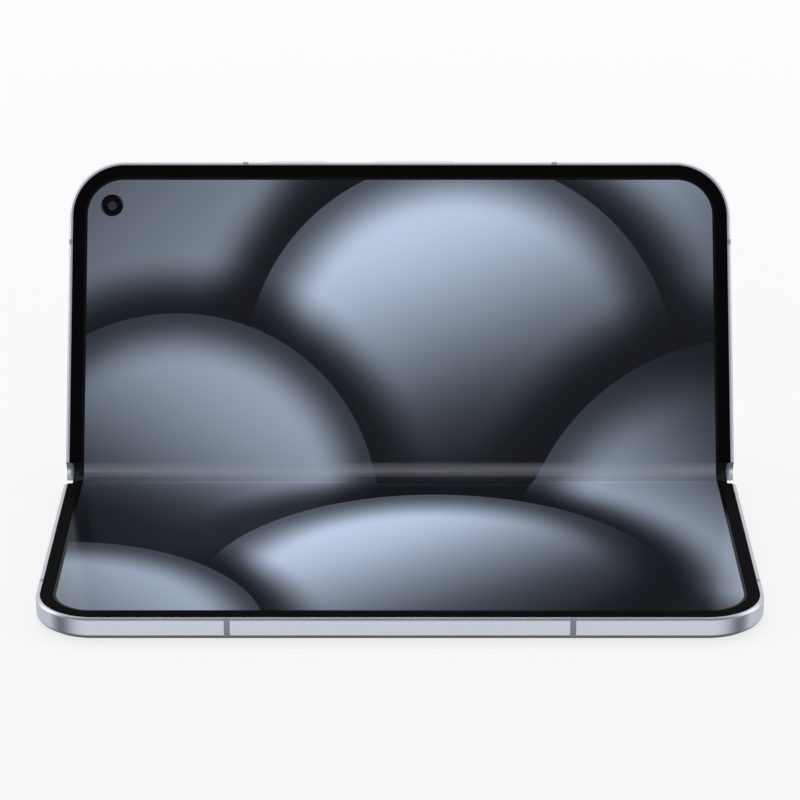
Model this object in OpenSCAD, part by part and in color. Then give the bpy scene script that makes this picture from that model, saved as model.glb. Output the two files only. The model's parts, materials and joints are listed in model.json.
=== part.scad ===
// Foldable phone, half open like a small laptop.
// Each half is drawn flat in its own frame: x along the hinge, y away from the hinge, z from the
// outer face (0) to the inner face (half_t). The place_ modules then fold the halves to the rest pose.

/* [Halves] */
// Length of the phone along the hinge
width = 155.2; // [120:0.2:190]
// From the middle of the hinge to the free edge of each half
half_depth = 75.2; // [64:0.2:95]
// Thickness of each half
half_t = 5.2; // [5.2:0.1:6.5]
// Corner radius of the free edge, seen from the front
corner_r = 13; // [8:0.5:16]
// Angle between the two screens at rest
open_angle = 120; // [50:5:170]

/* [Frame] */
// Wall of the metal frame
wall = 1.6; // [1.5:0.1:2]
// Chamfer around the inner face
chamfer = 0.35; // [0.2:0.05:0.6]
// Radius of the rounding around the outer face
round_r = 0.98; // [0.7:0.02:0.98]
// Thickness of the floor between the screen and the inside of a half
floor_t = 0.4; // [0.3:0.05:0.5]
// Width of the plastic antenna breaks
antenna_w = 1.25; // [0.8:0.05:2]
// Distance of the antenna breaks from the middle, along the free edge
antenna_x = 36.3; // [34:0.1:50]
// Distance of the side antenna breaks from the free edge
antenna_edge = 19.2; // [18:0.1:24]
// Clear gap between parts that are glued or slid together
fit = 0.05; // [0.02:0.01:0.1]

/* [Hinge] */
// Half the distance between the two fold axes
axis_u = 1.2; // [1.1:0.05:1.3]
// Gap between the two inner faces when shut
shut_gap = 0.4; // [0.3:0.05:0.6]
// Distance from the outer faces to the spine while the phone is flat
spine_skin = 0.6; // [0.56:0.01:0.7]
// Wall of the spine cover
spine_wall = 0.4; // [0.3:0.05:0.5]
// Gap between the spine and the halves
spine_gap = 0.15; // [0.1:0.01:0.2]
// Inset of the spine's ends from the ends of the halves
spine_inset = 2; // [1.95:0.05:4]
// Distance of the outer hinge modules from the middle
module_x = 48; // [36:1:60]
// Module of the small gears
gear_m = 0.2; // [0.19:0.005:0.2]
// Radial clearance of the shafts and curved rails
run_gap = 0.03; // [0.02:0.01:0.05]

/* [Screen] */
// Thickness of the folding screen
screen_t = 0.6; // [0.4:0.05:0.7]
// Depth of the screen below the raised bezel
screen_sink = 0.2; // [0.1:0.05:0.3]
// Thickness of the plate that backs each screen half
backing_t = 0.26; // [0.2:0.02:0.3]
// Distance from the hinge at which the free middle of the screen ends
fold_v = 3.6; // [3:0.1:4.5]
// Inset of the raised bezel from the frame's outside
bezel_inset = 0.88; // [0.7:0.02:1]
// Width of the raised bezel
bezel_w = 2.75; // [1.6:0.05:3]
// Radius of the opening for the inner camera
inner_cam_r = 2.45; // [2:0.05:3]
// Thickness of the glass on the outside of each half
glass_t = 0.5; // [0.4:0.05:0.5]

/* [Cameras] */
// Side of the rear camera island along the hinge
island_l = 37; // [34:0.5:40]
// Side of the rear camera island across the hinge
island_w = 42; // [36:0.5:44]
// Height of the island above the rear glass
island_h = 2.2; // [1.5:0.1:3]
// Distance of the island from the phone's top end and its free edge
island_edge = 7.5; // [7:0.1:9]
// Height of the oval lens windows
window_h = 14.5; // [13:0.5:16]

/* [Buttons] */
// Place of the power button along the free edge
power_x = -24.15; // [-26:0.05:-20]
// Length of the power button
power_l = 14.3; // [10:0.1:16]
// Place of the volume rocker along the free edge
volume_x = 3.3; // [2:0.1:10]
// Length of the volume rocker
volume_l = 19.6; // [16:0.1:24]
// Height of both buttons across the edge
button_h = 1.9; // [1.6:0.1:2.2]
// How far the buttons stand out
button_out = 0.4; // [0.3:0.05:0.6]
// Travel of a button
button_travel = 0.3; // [0.2:0.02:0.3]

/* [Ports] */
// Width of the USB-C receptacle
usb_w = 8.94; // [8.9:0.01:9]
// Height of the USB-C receptacle
usb_h = 3.16; // [3.1:0.01:3.2]
// Length of the SIM tray's outer bar
sim_l = 14; // [13:0.1:16]
// Width of the SIM card pocket
sim_card_w = 8.8; // [8.6:0.1:9.2]

/* [Inside] */
// Battery thickness
battery_t = 2; // [1.6:0.1:2.1]
// Width of the circuit board in the upper half
main_board_l = 25; // [22:1:30]
// Width of the circuit board in the lower half
lower_board_l = 31; // [24:1:36]
// Length kept free at the port end of each half
end_zone = 20; // [19.5:0.5:24]

/* [Hidden] */
$fn = 48;

// Heights inside a half, counted from its outer face
half_w = width / 2;
screen_top = half_t - screen_sink;
screen_low = screen_top - screen_t;
ledge_w = screen_low - 0.3;
floor_low = ledge_w - floor_t;
backing_low = ledge_w + 0.02;
glass_ledge = glass_t + fit;
glass_inset = round_r + 0.02;
inside_low = glass_t + 0.1;
inside_top = floor_low - 0.05;
rail_low = 0.42;

// Screen edges
screen_inset = bezel_inset + 1.02;
bezel_end_v = fold_v + 0.25;
inner_cam_x = -half_w + 10;
inner_cam_v = half_depth - 10.5;

// Fold axes, in the spine's frame
axis_w = half_t + shut_gap / 2 - axis_u;
fold = (180 - open_angle) / 2;
seam_v = 0.15;
origin_v = (half_depth + seam_v) / 2;
spine_x = half_w - spine_inset;
spine_r = axis_w - spine_skin;
spine_top = axis_w - 1.1;
spine_floor = spine_skin + spine_wall + 0.02;
clear_r = spine_r + spine_gap;
hinge_wall_v = axis_u + clear_r + 0.05;
hinge_wall_t = 1.2;
hinge_strip = 2.2;

// Hinge arms: a foot on the frame, a curved rail and, in the middle module, a toothed sector
arm_top = inside_top - 0.02;
arm_low = arm_top - 0.35;
hinge_wall_top = arm_low - 0.18;
arm_foot_v = hinge_wall_v + hinge_wall_t + 3.4;
arm_screw_v = arm_foot_v - 1.6;
rail_mid = spine_r - 1;
rail_t = 0.5;
rail_a0 = -150;
rail_a1 = -11;
module_xs = [-module_x, 0, module_x];
block_half = 10;
rail_x = 5;
rail_l = 4;
arm_screw_x = rail_x + rail_l / 2;
foot_x = block_half + 1.1;
screw_r = 0.4;
foot_t = 0.5;
bay_half = 2.9;

// Gear train: toothed sector, outer pinion, inner pinion, on each side
sector_n = 15;
outer_n = 7;
inner_n = 8;
sector_r = gear_m * sector_n / 2;
outer_r = gear_m * outer_n / 2;
inner_r = gear_m * inner_n / 2;
mesh_a = -acos((2 * inner_r + outer_r - axis_u) / (sector_r + outer_r));
outer_u = axis_u + (sector_r + outer_r) * cos(mesh_a);
pinion_w = axis_w + (sector_r + outer_r) * sin(mesh_a);
inner_u = inner_r;
shaft_r = 0.25;
gear_slice = 1;
sector_x0 = 1.2;
sector_x1 = 2.7;
tooth_slack = 0.8;
tooth_add = 0.75;
tooth_ded = 1.05;
pressure_a = 22;
// Turn of each gear that puts its teeth between those of its neighbour while the phone is flat
outer_turn = mated(sector_n, 0, mesh_a, outer_n);
inner_turn = mated(outer_n, outer_turn, 180, inner_n);
lower_inner_turn = mated(inner_n, inner_turn, 180, inner_n);
lower_outer_turn = mated(inner_n, lower_inner_turn, 180, outer_n);
lower_sector_turn = mated(outer_n, lower_outer_turn, 180 - mesh_a - 180, sector_n);

// Sector of each arm: inner radius, and the directions between which it has teeth while flat
sector_bore = 0.75;
sector_a0 = -176;
sector_a1 = -36;

// Buttons and ports
button_w = (glass_ledge + floor_low) / 2 + 0.25;
flange_t = 0.4;
flange_out = 0.25;
usb_v = 40;
usb_c = half_t / 2 - 0.2;
usb_deep = 7.6;
usb_shell = 0.3;
usb_end = half_w - 0.5;
usb_board_v0 = usb_v - 11;
usb_board_v1 = usb_v + 5;
usb_mic_vs = [27, 30];
speaker_vs = [for (i = [0:5]) 14 + 1.8 * i];
sim_v = 22;
sim_c = half_t / 2 - 0.1;
sim_h = 1.6;
sim_rim = 1.1;
sim_hole_vs = [sim_v + sim_l / 2 + 2.4, 44];
ear_vs = [for (i = [0:4]) 18 + 1.8 * i];
small_hole_r = 0.4;
sound_hole_r = 0.5;

// Rear cameras
island_x = -half_w + island_edge + island_l / 2;
island_v = half_depth - island_edge - island_w / 2;
island_r = 9;
island_plug = 0.65;
window_pitch = 18.5;
window_l = island_w - 6;
window_t = 0.65;
window_out = 0.1;
lens_v = 10.6;
barrel_low = -island_h - window_out + window_t + 0.15;
cover_cam_x = -half_w + 9.5;
cover_cam_v = half_depth / 2;

// Antenna breaks in the ends, kept clear of the receptacle
antenna_v = max(half_depth - antenna_edge, usb_v + usb_w / 2 + 2);

// Boards and batteries, hung below the floor
cell_v0 = 12;
cell_v1 = half_depth - 7;
cell_mid = (cell_v0 + cell_v1) / 2;
cell_gap = 0.25;
cell_w = inside_top - cell_gap - battery_t;
board_t = 0.6;
board_low = inside_top - 1.95;
board_top = board_low + board_t;
lower_board_low = inside_top - 2.15;
lower_board_top = lower_board_low + board_t;
coil_t = 0.6;
port_x = half_w - end_zone + 0.4;
main_board_x = island_x + island_l / 2 + 4;
upper_cell_x = main_board_x + main_board_l + 3;
lower_board_x = -half_w + 15.6;
lower_cell_x = lower_board_x + lower_board_l + 3;
cell_x1 = half_w - end_zone - 2;
coil_x = (upper_cell_x + cell_x1) / 2;
coil_r = 21;
haptic_l = 10;
haptic_v = max(half_depth - 19, usb_board_v1 + 0.3);
magnet_xs = [for (s = [-1, 1], i = [0, 1]) s * (38 + 9 * i)];

// Angle of gear 2 that meshes with gear 1 turned by t1, where gear 2 lies in direction b
function mated(n1, t1, b, n2) = (180 - n1 * (t1 - b)) / n2 + b + 180;

function arc(c, r, a0, a1, steps = 8) =
    [for (i = [0:steps]) c + r * [cos(a0 + (a1 - a0) * i / steps), sin(a0 + (a1 - a0) * i / steps)]];

// Section across the hinge, run along x from x0 to x1
module along_x(x0, x1) {
    translate([x0, 0, 0]) rotate([90, 0, 90]) linear_extrude(x1 - x0) children();
}

// Section across the phone's length, run along the half from v0 to v1
module along_v(v0, v1) {
    translate([0, v1, 0]) rotate([90, 0, 0]) linear_extrude(v1 - v0) children();
}

// Box between two corners
module block(x0, x1, v0, v1, w0, w1) {
    translate([x0, v0, w0]) cube([x1 - x0, v1 - v0, w1 - w0]);
}

// Box from x0 to x1, centred on v and w
module centred(x0, x1, v, l, w, h) {
    block(x0, x1, v - l / 2, v + l / 2, w - h / 2, w + h / 2);
}

// Standing cylinder
module post(x, v, r, w0, w1) {
    translate([x, v, w0]) cylinder(r = r, h = w1 - w0);
}

module place_lower() {
    translate([0, origin_v, 0]) mirror([0, 1, 0]) children();
}

// Turn by the fold angle about a fold axis at u
module fold_about(u) {
    translate([0, u, axis_w]) rotate([fold, 0, 0]) translate([0, -u, -axis_w]) children();
}

module place_spine() {
    translate([0, origin_v, 0]) fold_about(-axis_u) children();
}

module place_upper() {
    place_spine() fold_about(axis_u) children();
}

// Plan of a half, moved in from its outside by inset, with round corners at the free edge
module plan(inset, v0) {
    hx = half_w - inset;
    far = half_depth - inset;
    r = corner_r - inset;
    translate([-hx, v0]) square([2 * hx, far - r - v0]);
    translate([-hx + r, v0]) square([2 * (hx - r), far - v0]);
    for (s = [-1, 1]) translate([s * (hx - r), far - r]) circle(r);
}

module plate(inset, v0, w0, w1) {
    translate([0, 0, w0]) linear_extrude(w1 - w0) plan(inset, v0);
}

// A section drawn inwards from the outside, run along both sides and the free edge
module rim(v0) {
    straight = half_w - corner_r;
    far = half_depth - corner_r;
    for (s = [0, 1]) mirror([s, 0, 0]) {
        translate([half_w, 0, 0]) along_v(v0, far) mirror([1, 0]) children();
        translate([straight, far, 0]) rotate_extrude(angle = 90, $fn = 96)
            translate([corner_r, 0]) mirror([1, 0]) children();
    }
    translate([0, half_depth, 0]) along_x(-straight, straight) mirror([1, 0]) children();
}

module frame_section() {
    polygon(concat([[0, half_t - chamfer], [chamfer, half_t], [bezel_inset, half_t], [bezel_inset, ledge_w],
        [wall, ledge_w], [wall, glass_ledge], [glass_inset, glass_ledge]],
        arc([round_r, rail_low + round_r], round_r, 270, 180, 6)));
}

// Boxes of the antenna breaks
module antenna_boxes() {
    depth = wall - 0.3;
    for (s = [-1, 1]) {
        translate([s * antenna_x, half_depth - depth / 2 + 0.5, half_t / 2])
            cube([antenna_w, depth + 1, half_t + 2], center = true);
        translate([s * (half_w - depth / 2 + 0.5), antenna_v, half_t / 2])
            cube([depth + 1, antenna_w, half_t + 2], center = true);
    }
}

// Metal frame of one half before its openings are cut
module bare_frame() {
    notch = [0.6, axis_w + 0.4];
    notch_r = bezel_end_v - notch.x + 0.05;
    notch_l = half_w - spine_x;
    clear_x = spine_x + 0.25;
    rail_v = hinge_wall_v + hinge_wall_t;
    difference() {
        union() {
            rim(seam_v) frame_section();
            plate(wall - 0.3, hinge_wall_v, floor_low, ledge_w);
            along_x(-half_w + wall - 0.2, half_w - wall + 0.2)
                polygon([[seam_v, 0], [hinge_strip, 0], [hinge_strip, glass_ledge], [rail_v, glass_ledge],
                    [rail_v, hinge_wall_top], [seam_v, hinge_wall_top]]);
        }
        along_x(-clear_x, clear_x) translate([axis_u, axis_w]) circle(clear_r, $fn = 96);
        for (s = [0, 1]) mirror([s, 0, 0]) along_x(clear_x - 0.1, clear_x + notch_l)
            translate(notch) circle(notch_r, $fn = 96);
        antenna_boxes();
        for (x = module_xs, s = [-1, 1])
            post(x + s * arm_screw_x, arm_screw_v, screw_r + 0.02, floor_low - 1, half_t);
    }
}

module antenna_bands() {
    intersection() {
        rim(seam_v) frame_section();
        antenna_boxes();
    }
}

module bezel() {
    in0 = bezel_inset + fit;
    in1 = screen_inset - fit;
    in2 = bezel_inset + bezel_w;
    rim(bezel_end_v) polygon([[in0, backing_low], [in0, half_t], [in2, half_t], [in2, screen_top + 0.02],
        [in1, screen_top + 0.02], [in1, backing_low]]);
}

// Hinge arms of one half; teeth_turn sets where the teeth of its sector stand
module arc_band(r0, r1, a0, a1) {
    reach = 2 * r1;
    mid = (a0 + a1) / 2;
    intersection() {
        difference() {
            circle(r1, $fn = 96);
            circle(r0, $fn = 96);
        }
        polygon(concat([[0, 0]], arc([0, 0], reach, a0, a1, 4)));
    }
}

module hinge_arms(side, teeth_turn) {
    for (x = module_xs) {
        rail_at = x + side * rail_x;
        x0 = min(rail_at, rail_at + side * rail_l);
        foot0 = x == 0 ? min(side * sector_x0, side * (rail_x + rail_l)) : x0;
        foot1 = x == 0 ? max(side * sector_x0, side * (rail_x + rail_l)) : x0 + rail_l;
        along_x(x0, x0 + rail_l) translate([axis_u, axis_w])
            arc_band(rail_mid - rail_t / 2, rail_mid + rail_t / 2, rail_a0, rail_a1);
        difference() {
            block(foot0, foot1, axis_u + rail_mid - 0.2, arm_foot_v, arm_low, arm_top);
            post(x + side * arm_screw_x, arm_screw_v, screw_r + 0.05, 0, half_t);
        }
    }
    sx0 = min(side * sector_x0, side * sector_x1);
    along_x(sx0, sx0 + sector_x1 - sector_x0) {
        translate([axis_u, axis_w]) intersection() {
            difference() {
                gear(sector_n, teeth_turn);
                circle(sector_bore);
            }
            polygon(concat([[0, 0]], arc([0, 0], 2 * sector_r, sector_a0, sector_a1, 4)));
        }
        translate([axis_u + 0.95, arm_low]) square([rail_mid, arm_top - arm_low]);
    }
}

// One gear as a plain polygon, with straight tooth flanks
module gear(n, turn) {
    r = gear_m * n / 2;
    tip = r + tooth_add * gear_m;
    root = r - tooth_ded * gear_m;
    half_pitch = 90 / n * tooth_slack;
    lean = tan(pressure_a) * gear_m * 180 / PI;
    half_tip = (half_pitch * r - tooth_add * lean) / tip;
    half_root = (half_pitch * r + 0.35 * tooth_ded * lean) / root;
    polygon([for (i = [0:n - 1], p = [[-half_root, root], [-half_pitch, r], [-half_tip, tip],
        [half_tip, tip], [half_pitch, r], [half_root, root]])
        p[1] * [cos(turn + 360 / n * i + p[0]), sin(turn + 360 / n * i + p[0])]]);
}

module pinion(u, n, turn, x0, x1) {
    along_x(x0, x1) translate([u, pinion_w]) difference() {
        gear(n, turn);
        circle(shaft_r + run_gap);
    }
}

module screw(x, v, w_head, w_tip) {
    post(x, v, 0.75, w_head, w_head + 0.25);
    post(x, v, screw_r, w_head + 0.2, w_tip);
}

module screw_down(x) {
    post(x, 0, 0.8, spine_floor + foot_t, spine_floor + foot_t + 0.35);
    post(x, 0, screw_r, spine_floor, spine_floor + foot_t + 0.1);
}

module arm_screws(side) {
    for (x = module_xs) screw(x + side * arm_screw_x, arm_screw_v, arm_low - 0.25, ledge_w - 0.05);
}

module magnets() {
    for (x = magnet_xs) block(x - 4, x + 4, half_depth - wall - 2.1, half_depth - wall - 0.1, 1.4, 3.3);
}

// Row of round holes through the wall at one end of a half
module end_holes(side, vs, w, r) {
    mid = side * (half_w - wall / 2);
    for (v = vs) along_x(mid - wall, mid + wall) translate([v, w]) circle(r);
}

// Metal frame of the lower half, with the openings of the SIM tray and the microphone
module lower_frame() {
    color("lightsteelblue") place_lower() difference() {
        bare_frame();
        centred(half_w - wall - 0.1, half_w + 1, sim_v, sim_l + 2 * fit, sim_c, sim_h + 2 * fit);
        end_holes(1, sim_hole_vs, sim_c, small_hole_r);
        end_holes(-1, ear_vs, sim_c, sound_hole_r);
    }
}

module lower_antenna_bands() {
    color("slategray") place_lower() antenna_bands();
}

module lower_bezel() {
    color("black") place_lower() bezel();
}

module lower_backing_plate() {
    color("gray") place_lower() plate(screen_inset, fold_v + 0.1, backing_low, backing_low + backing_t);
}

module lower_display() {
    color("midnightblue") place_lower() plate(screen_inset, fold_v, screen_low, screen_top);
}

// Glass over the outer screen; the lower half rests on it
module cover_glass() {
    color("black") place_lower() plate(glass_inset + fit, hinge_strip + fit, 0, glass_t);
}

module cover_panel() {
    color("dimgray") place_lower() difference() {
        plate(2.6, hinge_wall_v + hinge_wall_t + 0.1, inside_low, inside_low + 0.6);
        post(cover_cam_x, cover_cam_v, 2.5, 0, half_t);
    }
}

module cover_camera() {
    color("black") place_lower() {
        post(cover_cam_x, cover_cam_v, 2.2, inside_low, 2.2);
        block(cover_cam_x - 3, cover_cam_x + 3, cover_cam_v - 3, cover_cam_v + 3, 1.5, inside_top - 0.1);
    }
}

module lower_battery() {
    color("silver") place_lower()
        block(lower_cell_x, cell_x1 - 2, cell_v0, cell_v1, cell_w, cell_w + battery_t);
}

module lower_board() {
    color("darkgreen") place_lower()
        block(lower_board_x, lower_board_x + lower_board_l, cell_v0, cell_v1,
            lower_board_low, lower_board_top);
}

module lower_shield() {
    color("silver") place_lower() {
        for (v = [[cell_v0 + 2, cell_mid - 2, inside_top - 0.45],
            [cell_mid + 2, cell_v1 - 2, inside_top - 0.65]])
            block(lower_board_x + 2, lower_board_x + lower_board_l - 2, v[0], v[1],
                lower_board_top, v[2]);
    }
}

module earpiece_speaker() {
    color("dimgray") place_lower()
        block(-half_w + wall + 0.3, lower_board_x - 2, 14, min(30, cover_cam_v - 3.3),
            1.5, inside_top - 0.1);
}

// Tray that slides out of the lower half's end
module sim_tray() {
    color("lightsteelblue") place_lower() {
        centred(half_w - 2, half_w, sim_v, sim_l, sim_c, sim_h);
        difference() {
            centred(half_w - 18, half_w - 1.9, sim_v, sim_card_w + 2 * sim_rim, sim_c, 0.8);
            centred(half_w - 16.6, half_w - 4, sim_v, sim_card_w, sim_c, half_t);
        }
    }
}

module sim_socket() {
    pocket = sim_card_w + 2 * sim_rim + 0.3;
    color("silver") place_lower() difference() {
        centred(half_w - 19, half_w - 2.6, sim_v, pocket + 0.6, sim_c, 1.6);
        centred(half_w - 18.2, half_w, sim_v, pocket, sim_c, 1);
    }
}

module lower_hinge_arms() {
    color("gray") place_lower() hinge_arms(-1, 180 - lower_sector_turn);
}

module lower_hinge_screws() {
    color("silver") place_lower() arm_screws(-1);
}

module lower_magnets() {
    color("dimgray") place_lower() magnets();
}

// Section of the spine, as a pair of discs about the fold axes joined by a flat
module spine_section(r) {
    for (s = [-1, 1]) translate([s * axis_u, axis_w]) circle(r, $fn = 96);
    translate([-axis_u, axis_w - r]) square([2 * axis_u, r]);
}

module below_spine_top() {
    reach = spine_r + axis_u + 1;
    translate([-reach, -1]) square([2 * reach, spine_top + 1]);
}

module spine_cover() {
    color("lightsteelblue") place_spine() along_x(-spine_x, spine_x) intersection() {
        difference() {
            spine_section(spine_r);
            spine_section(spine_r - spine_wall);
        }
        below_spine_top();
    }
}

module spine_end_caps() {
    cap = 0.8;
    color("lightsteelblue") place_spine() for (s = [-1, 1])
        along_x(s * (spine_x - cap / 2) - cap / 2, s * (spine_x - cap / 2) + cap / 2) intersection() {
            spine_section(spine_r - spine_wall - 0.02);
            below_spine_top();
        }
}

module rail_groove(x, side) {
    half_l = rail_l / 2 + 0.1;
    along_x(x - half_l, x + half_l) translate([side * axis_u, axis_w]) difference() {
        circle(rail_mid + rail_t / 2 + run_gap, $fn = 96);
        circle(rail_mid - rail_t / 2 - run_gap, $fn = 96);
    }
}

// Blocks that carry the curved rails; the middle one also holds the gear train
module hinge_blocks() {
    color("dimgray") place_spine() for (x = module_xs) difference() {
        union() {
            along_x(x - block_half, x + block_half) intersection() {
                spine_section(spine_r - spine_wall - 0.02);
                below_spine_top();
            }
            block(x - foot_x - 1.2, x + foot_x + 1.2, -axis_u, axis_u, spine_floor, spine_floor + foot_t);
        }
        for (s = [-1, 1]) post(x + s * foot_x, 0, screw_r + 0.02, 0, half_t);
        for (s = [-1, 1]) rail_groove(x + s * arm_screw_x, s);
        if (x == 0) {
            block(-bay_half, bay_half, -5, 5, spine_floor + 0.28, half_t);
            for (u = [-outer_u, -inner_u, inner_u, outer_u]) along_x(-bay_half - 0.9, bay_half + 0.9)
                translate([u, pinion_w]) circle(shaft_r + 0.01);
        }
    }
}

module hinge_block_screws() {
    color("silver") place_spine() for (x = module_xs, s = [-1, 1])
        screw_down(x + s * foot_x);
}

module pinion_shafts() {
    color("silver") place_spine() for (u = [-outer_u, -inner_u, inner_u, outer_u])
        along_x(-bay_half - 0.8, bay_half + 0.8) translate([u, pinion_w]) circle(shaft_r);
}

module upper_outer_pinion() {
    color("goldenrod") place_spine()
        pinion(outer_u, outer_n, outer_turn - fold * sector_n / outer_n, -gear_slice, sector_x1);
}

module upper_inner_pinion() {
    color("goldenrod") place_spine()
        pinion(inner_u, inner_n, inner_turn + fold * sector_n / inner_n, -gear_slice, gear_slice);
}

module lower_inner_pinion() {
    color("goldenrod") place_spine()
        pinion(-inner_u, inner_n, lower_inner_turn - fold * sector_n / inner_n, -gear_slice, gear_slice);
}

module lower_outer_pinion() {
    color("goldenrod") place_spine()
        pinion(-outer_u, outer_n, lower_outer_turn + fold * sector_n / outer_n, -sector_x1, gear_slice);
}

// Free middle of the screen, bent to an arc that meets both halves square
module display_fold() {
    end_u = axis_u + (fold_v - axis_u) * cos(fold) - (screen_low - axis_w) * sin(fold);
    end_w = axis_w + (fold_v - axis_u) * sin(fold) + (screen_low - axis_w) * cos(fold);
    bend_r = end_u / sin(fold);
    color("midnightblue") place_spine() along_x(-half_w + screen_inset, half_w - screen_inset)
        translate([0, end_w + bend_r * cos(fold)])
        arc_band(bend_r - screen_t, bend_r, -90 - fold + 0.3, -90 + fold - 0.3);
}

// Oval lying across the half, centred at [x, v]
module oval(x, v, l, h) {
    translate([x - h / 2, v - (l - h) / 2]) square([h, l - h]);
    for (s = [-1, 1]) translate([x, v + s * (l - h) / 2]) circle(h / 2);
}

module island_plan(inset) {
    l = island_l - 2 * inset;
    w = island_w - 2 * inset;
    r = island_r - inset;
    translate([island_x - l / 2 + r, island_v - w / 2]) square([l - 2 * r, w]);
    translate([island_x - l / 2, island_v - w / 2 + r]) square([l, w - 2 * r]);
    for (a = [-1, 1], b = [-1, 1])
        translate([island_x + a * (l / 2 - r), island_v + b * (w / 2 - r)]) circle(r);
}

// Metal frame of the upper half, with the openings of its buttons and ports
module upper_frame() {
    color("lightsteelblue") place_upper() difference() {
        bare_frame();
        for (b = [[power_x, power_l], [volume_x, volume_l]])
            translate([b[0], half_depth - wall / 2, button_w])
                cube([b[1] + 2 * fit, wall + 2, button_h + 2 * fit], center = true);
        along_x(half_w - wall - 0.1, half_w + 1) oval_section(usb_w + 2 * fit, usb_h + 2 * fit);
        centred(usb_end - usb_deep - 0.5, half_w - wall, usb_v, usb_w + 1, ledge_w, 2);
        end_holes(1, speaker_vs, usb_c, sound_hole_r);
        end_holes(1, usb_mic_vs, usb_c, small_hole_r);
        post(inner_cam_x, inner_cam_v, inner_cam_r + 0.2, floor_low - 1, half_t);
    }
}

// Section of the receptacle, a rounded slot lying along the half
module oval_section(l, h) {
    translate([usb_v - (l - h) / 2, usb_c - h / 2]) square([l - h, h]);
    for (s = [-1, 1]) translate([usb_v + s * (l - h) / 2, usb_c]) circle(h / 2);
}

module upper_antenna_bands() {
    color("slategray") place_upper() antenna_bands();
}

module upper_bezel() {
    color("black") place_upper() bezel();
}

module upper_backing_plate() {
    color("gray") place_upper() difference() {
        plate(screen_inset, fold_v + 0.1, backing_low, backing_low + backing_t);
        post(inner_cam_x, inner_cam_v, inner_cam_r + 0.1, 0, half_t);
    }
}

module upper_display() {
    color("midnightblue") place_upper() difference() {
        plate(screen_inset, fold_v, screen_low, screen_top);
        post(inner_cam_x, inner_cam_v, inner_cam_r, 0, half_t + 1);
    }
}

module rear_glass() {
    color("lightsteelblue") place_upper() difference() {
        plate(glass_inset + fit, hinge_strip + fit, 0, glass_t);
        translate([0, 0, -1]) linear_extrude(half_t) island_plan(island_plug - fit);
    }
}

// Raised metal island round the rear cameras, with two oval windows
module camera_island() {
    color("lightsteelblue") place_upper() difference() {
        union() {
            translate([0, 0, -island_h]) linear_extrude(island_h - 0.02) island_plan(0);
            translate([0, 0, -island_h]) linear_extrude(island_h + inside_low) island_plan(island_plug);
        }
        for (s = [-1, 1]) translate([0, 0, -island_h - 1]) linear_extrude(half_t)
            oval(island_x + s * window_pitch / 2, island_v, window_l - 1, window_h - 1);
        for (s = [-1, 1]) translate([0, 0, -island_h - 1]) linear_extrude(1 + window_t - window_out + fit)
            oval(island_x + s * window_pitch / 2, island_v, window_l, window_h);
    }
}

module camera_windows() {
    color("black") place_upper() for (s = [-1, 1])
        translate([0, 0, -island_h - window_out]) linear_extrude(window_t)
        oval(island_x + s * window_pitch / 2, island_v, window_l - 2 * fit, window_h - 2 * fit);
}

// A rear camera: a square body and a round barrel behind the window
module rear_camera(s, v, side, barrel_r) {
    x = island_x + s * window_pitch / 2;
    post(x, v, barrel_r, barrel_low, inside_low + 0.6);
    block(x - side / 2, x + side / 2, v - side / 2, v + side / 2, inside_low + 0.1, inside_top - 0.1);
}

module main_camera() {
    color("dimgray") place_upper() rear_camera(-1, island_v + lens_v, 11, 5.2);
}

module wide_camera() {
    color("dimgray") place_upper() rear_camera(-1, island_v - lens_v, 9.5, 4.4);
}

module tele_camera() {
    color("dimgray") place_upper() rear_camera(1, island_v + lens_v, 10.5, 4.8);
}

module camera_flash() {
    color("khaki") place_upper() {
        x = island_x + window_pitch / 2;
        post(x, island_v - lens_v, 2.6, barrel_low, 0.6);
        centred(x - 3, x + 3, island_v - lens_v, 6, 0.95, 0.9);
    }
}

module upper_battery() {
    color("silver") place_upper()
        block(upper_cell_x, cell_x1, cell_v0, cell_v1, cell_w, cell_w + battery_t);
}

module charging_coil() {
    color("peru") place_upper() difference() {
        post(coil_x, cell_mid, coil_r, inside_low, inside_low + coil_t);
        post(coil_x, cell_mid, coil_r - 9, 0, half_t);
    }
}

module main_board() {
    color("darkgreen") place_upper()
        block(main_board_x, main_board_x + main_board_l, cell_v0, cell_v1, board_low, board_top);
}

module processor() {
    color("dimgray") place_upper()
        block(main_board_x + 6, main_board_x + 19, cell_mid - 6.5, cell_mid + 6.5,
            board_top, board_top + 1);
}

module board_shields() {
    color("silver") place_upper() {
        for (v = [[cell_v0 + 2, cell_mid - 9], [cell_mid + 9, cell_v1 - 2]])
            block(main_board_x + 2, main_board_x + main_board_l - 2, v[0], v[1],
                board_top, inside_top - cell_gap);
        block(main_board_x + 2, main_board_x + main_board_l - 2, cell_v0 + 4, cell_v1 - 5,
            board_low - 0.9, board_low);
    }
}

// Camera behind the round opening in the upper screen
module inner_camera() {
    color("black") place_upper() {
        post(inner_cam_x, inner_cam_v, inner_cam_r - 0.1, inside_top - 0.1, screen_top - 0.15);
        block(inner_cam_x - 3, inner_cam_x + 3, inner_cam_v - 1.7, inner_cam_v + 3.3, 1, inside_top - 0.1);
    }
}

// A button cap through the frame's wall, with a flange that keeps it in
module button(x, l, flange_gap) {
    w0 = button_w - button_h / 2;
    w1 = button_w + button_h / 2;
    flange = half_depth - wall - flange_gap;
    block(x - l / 2, x + l / 2, flange - 0.1, half_depth + button_out, w0, w1);
    block(x - l / 2 - 0.5, x + l / 2 + 0.5, flange - flange_t, flange, w0 - flange_out, w1 + flange_out);
}

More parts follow.
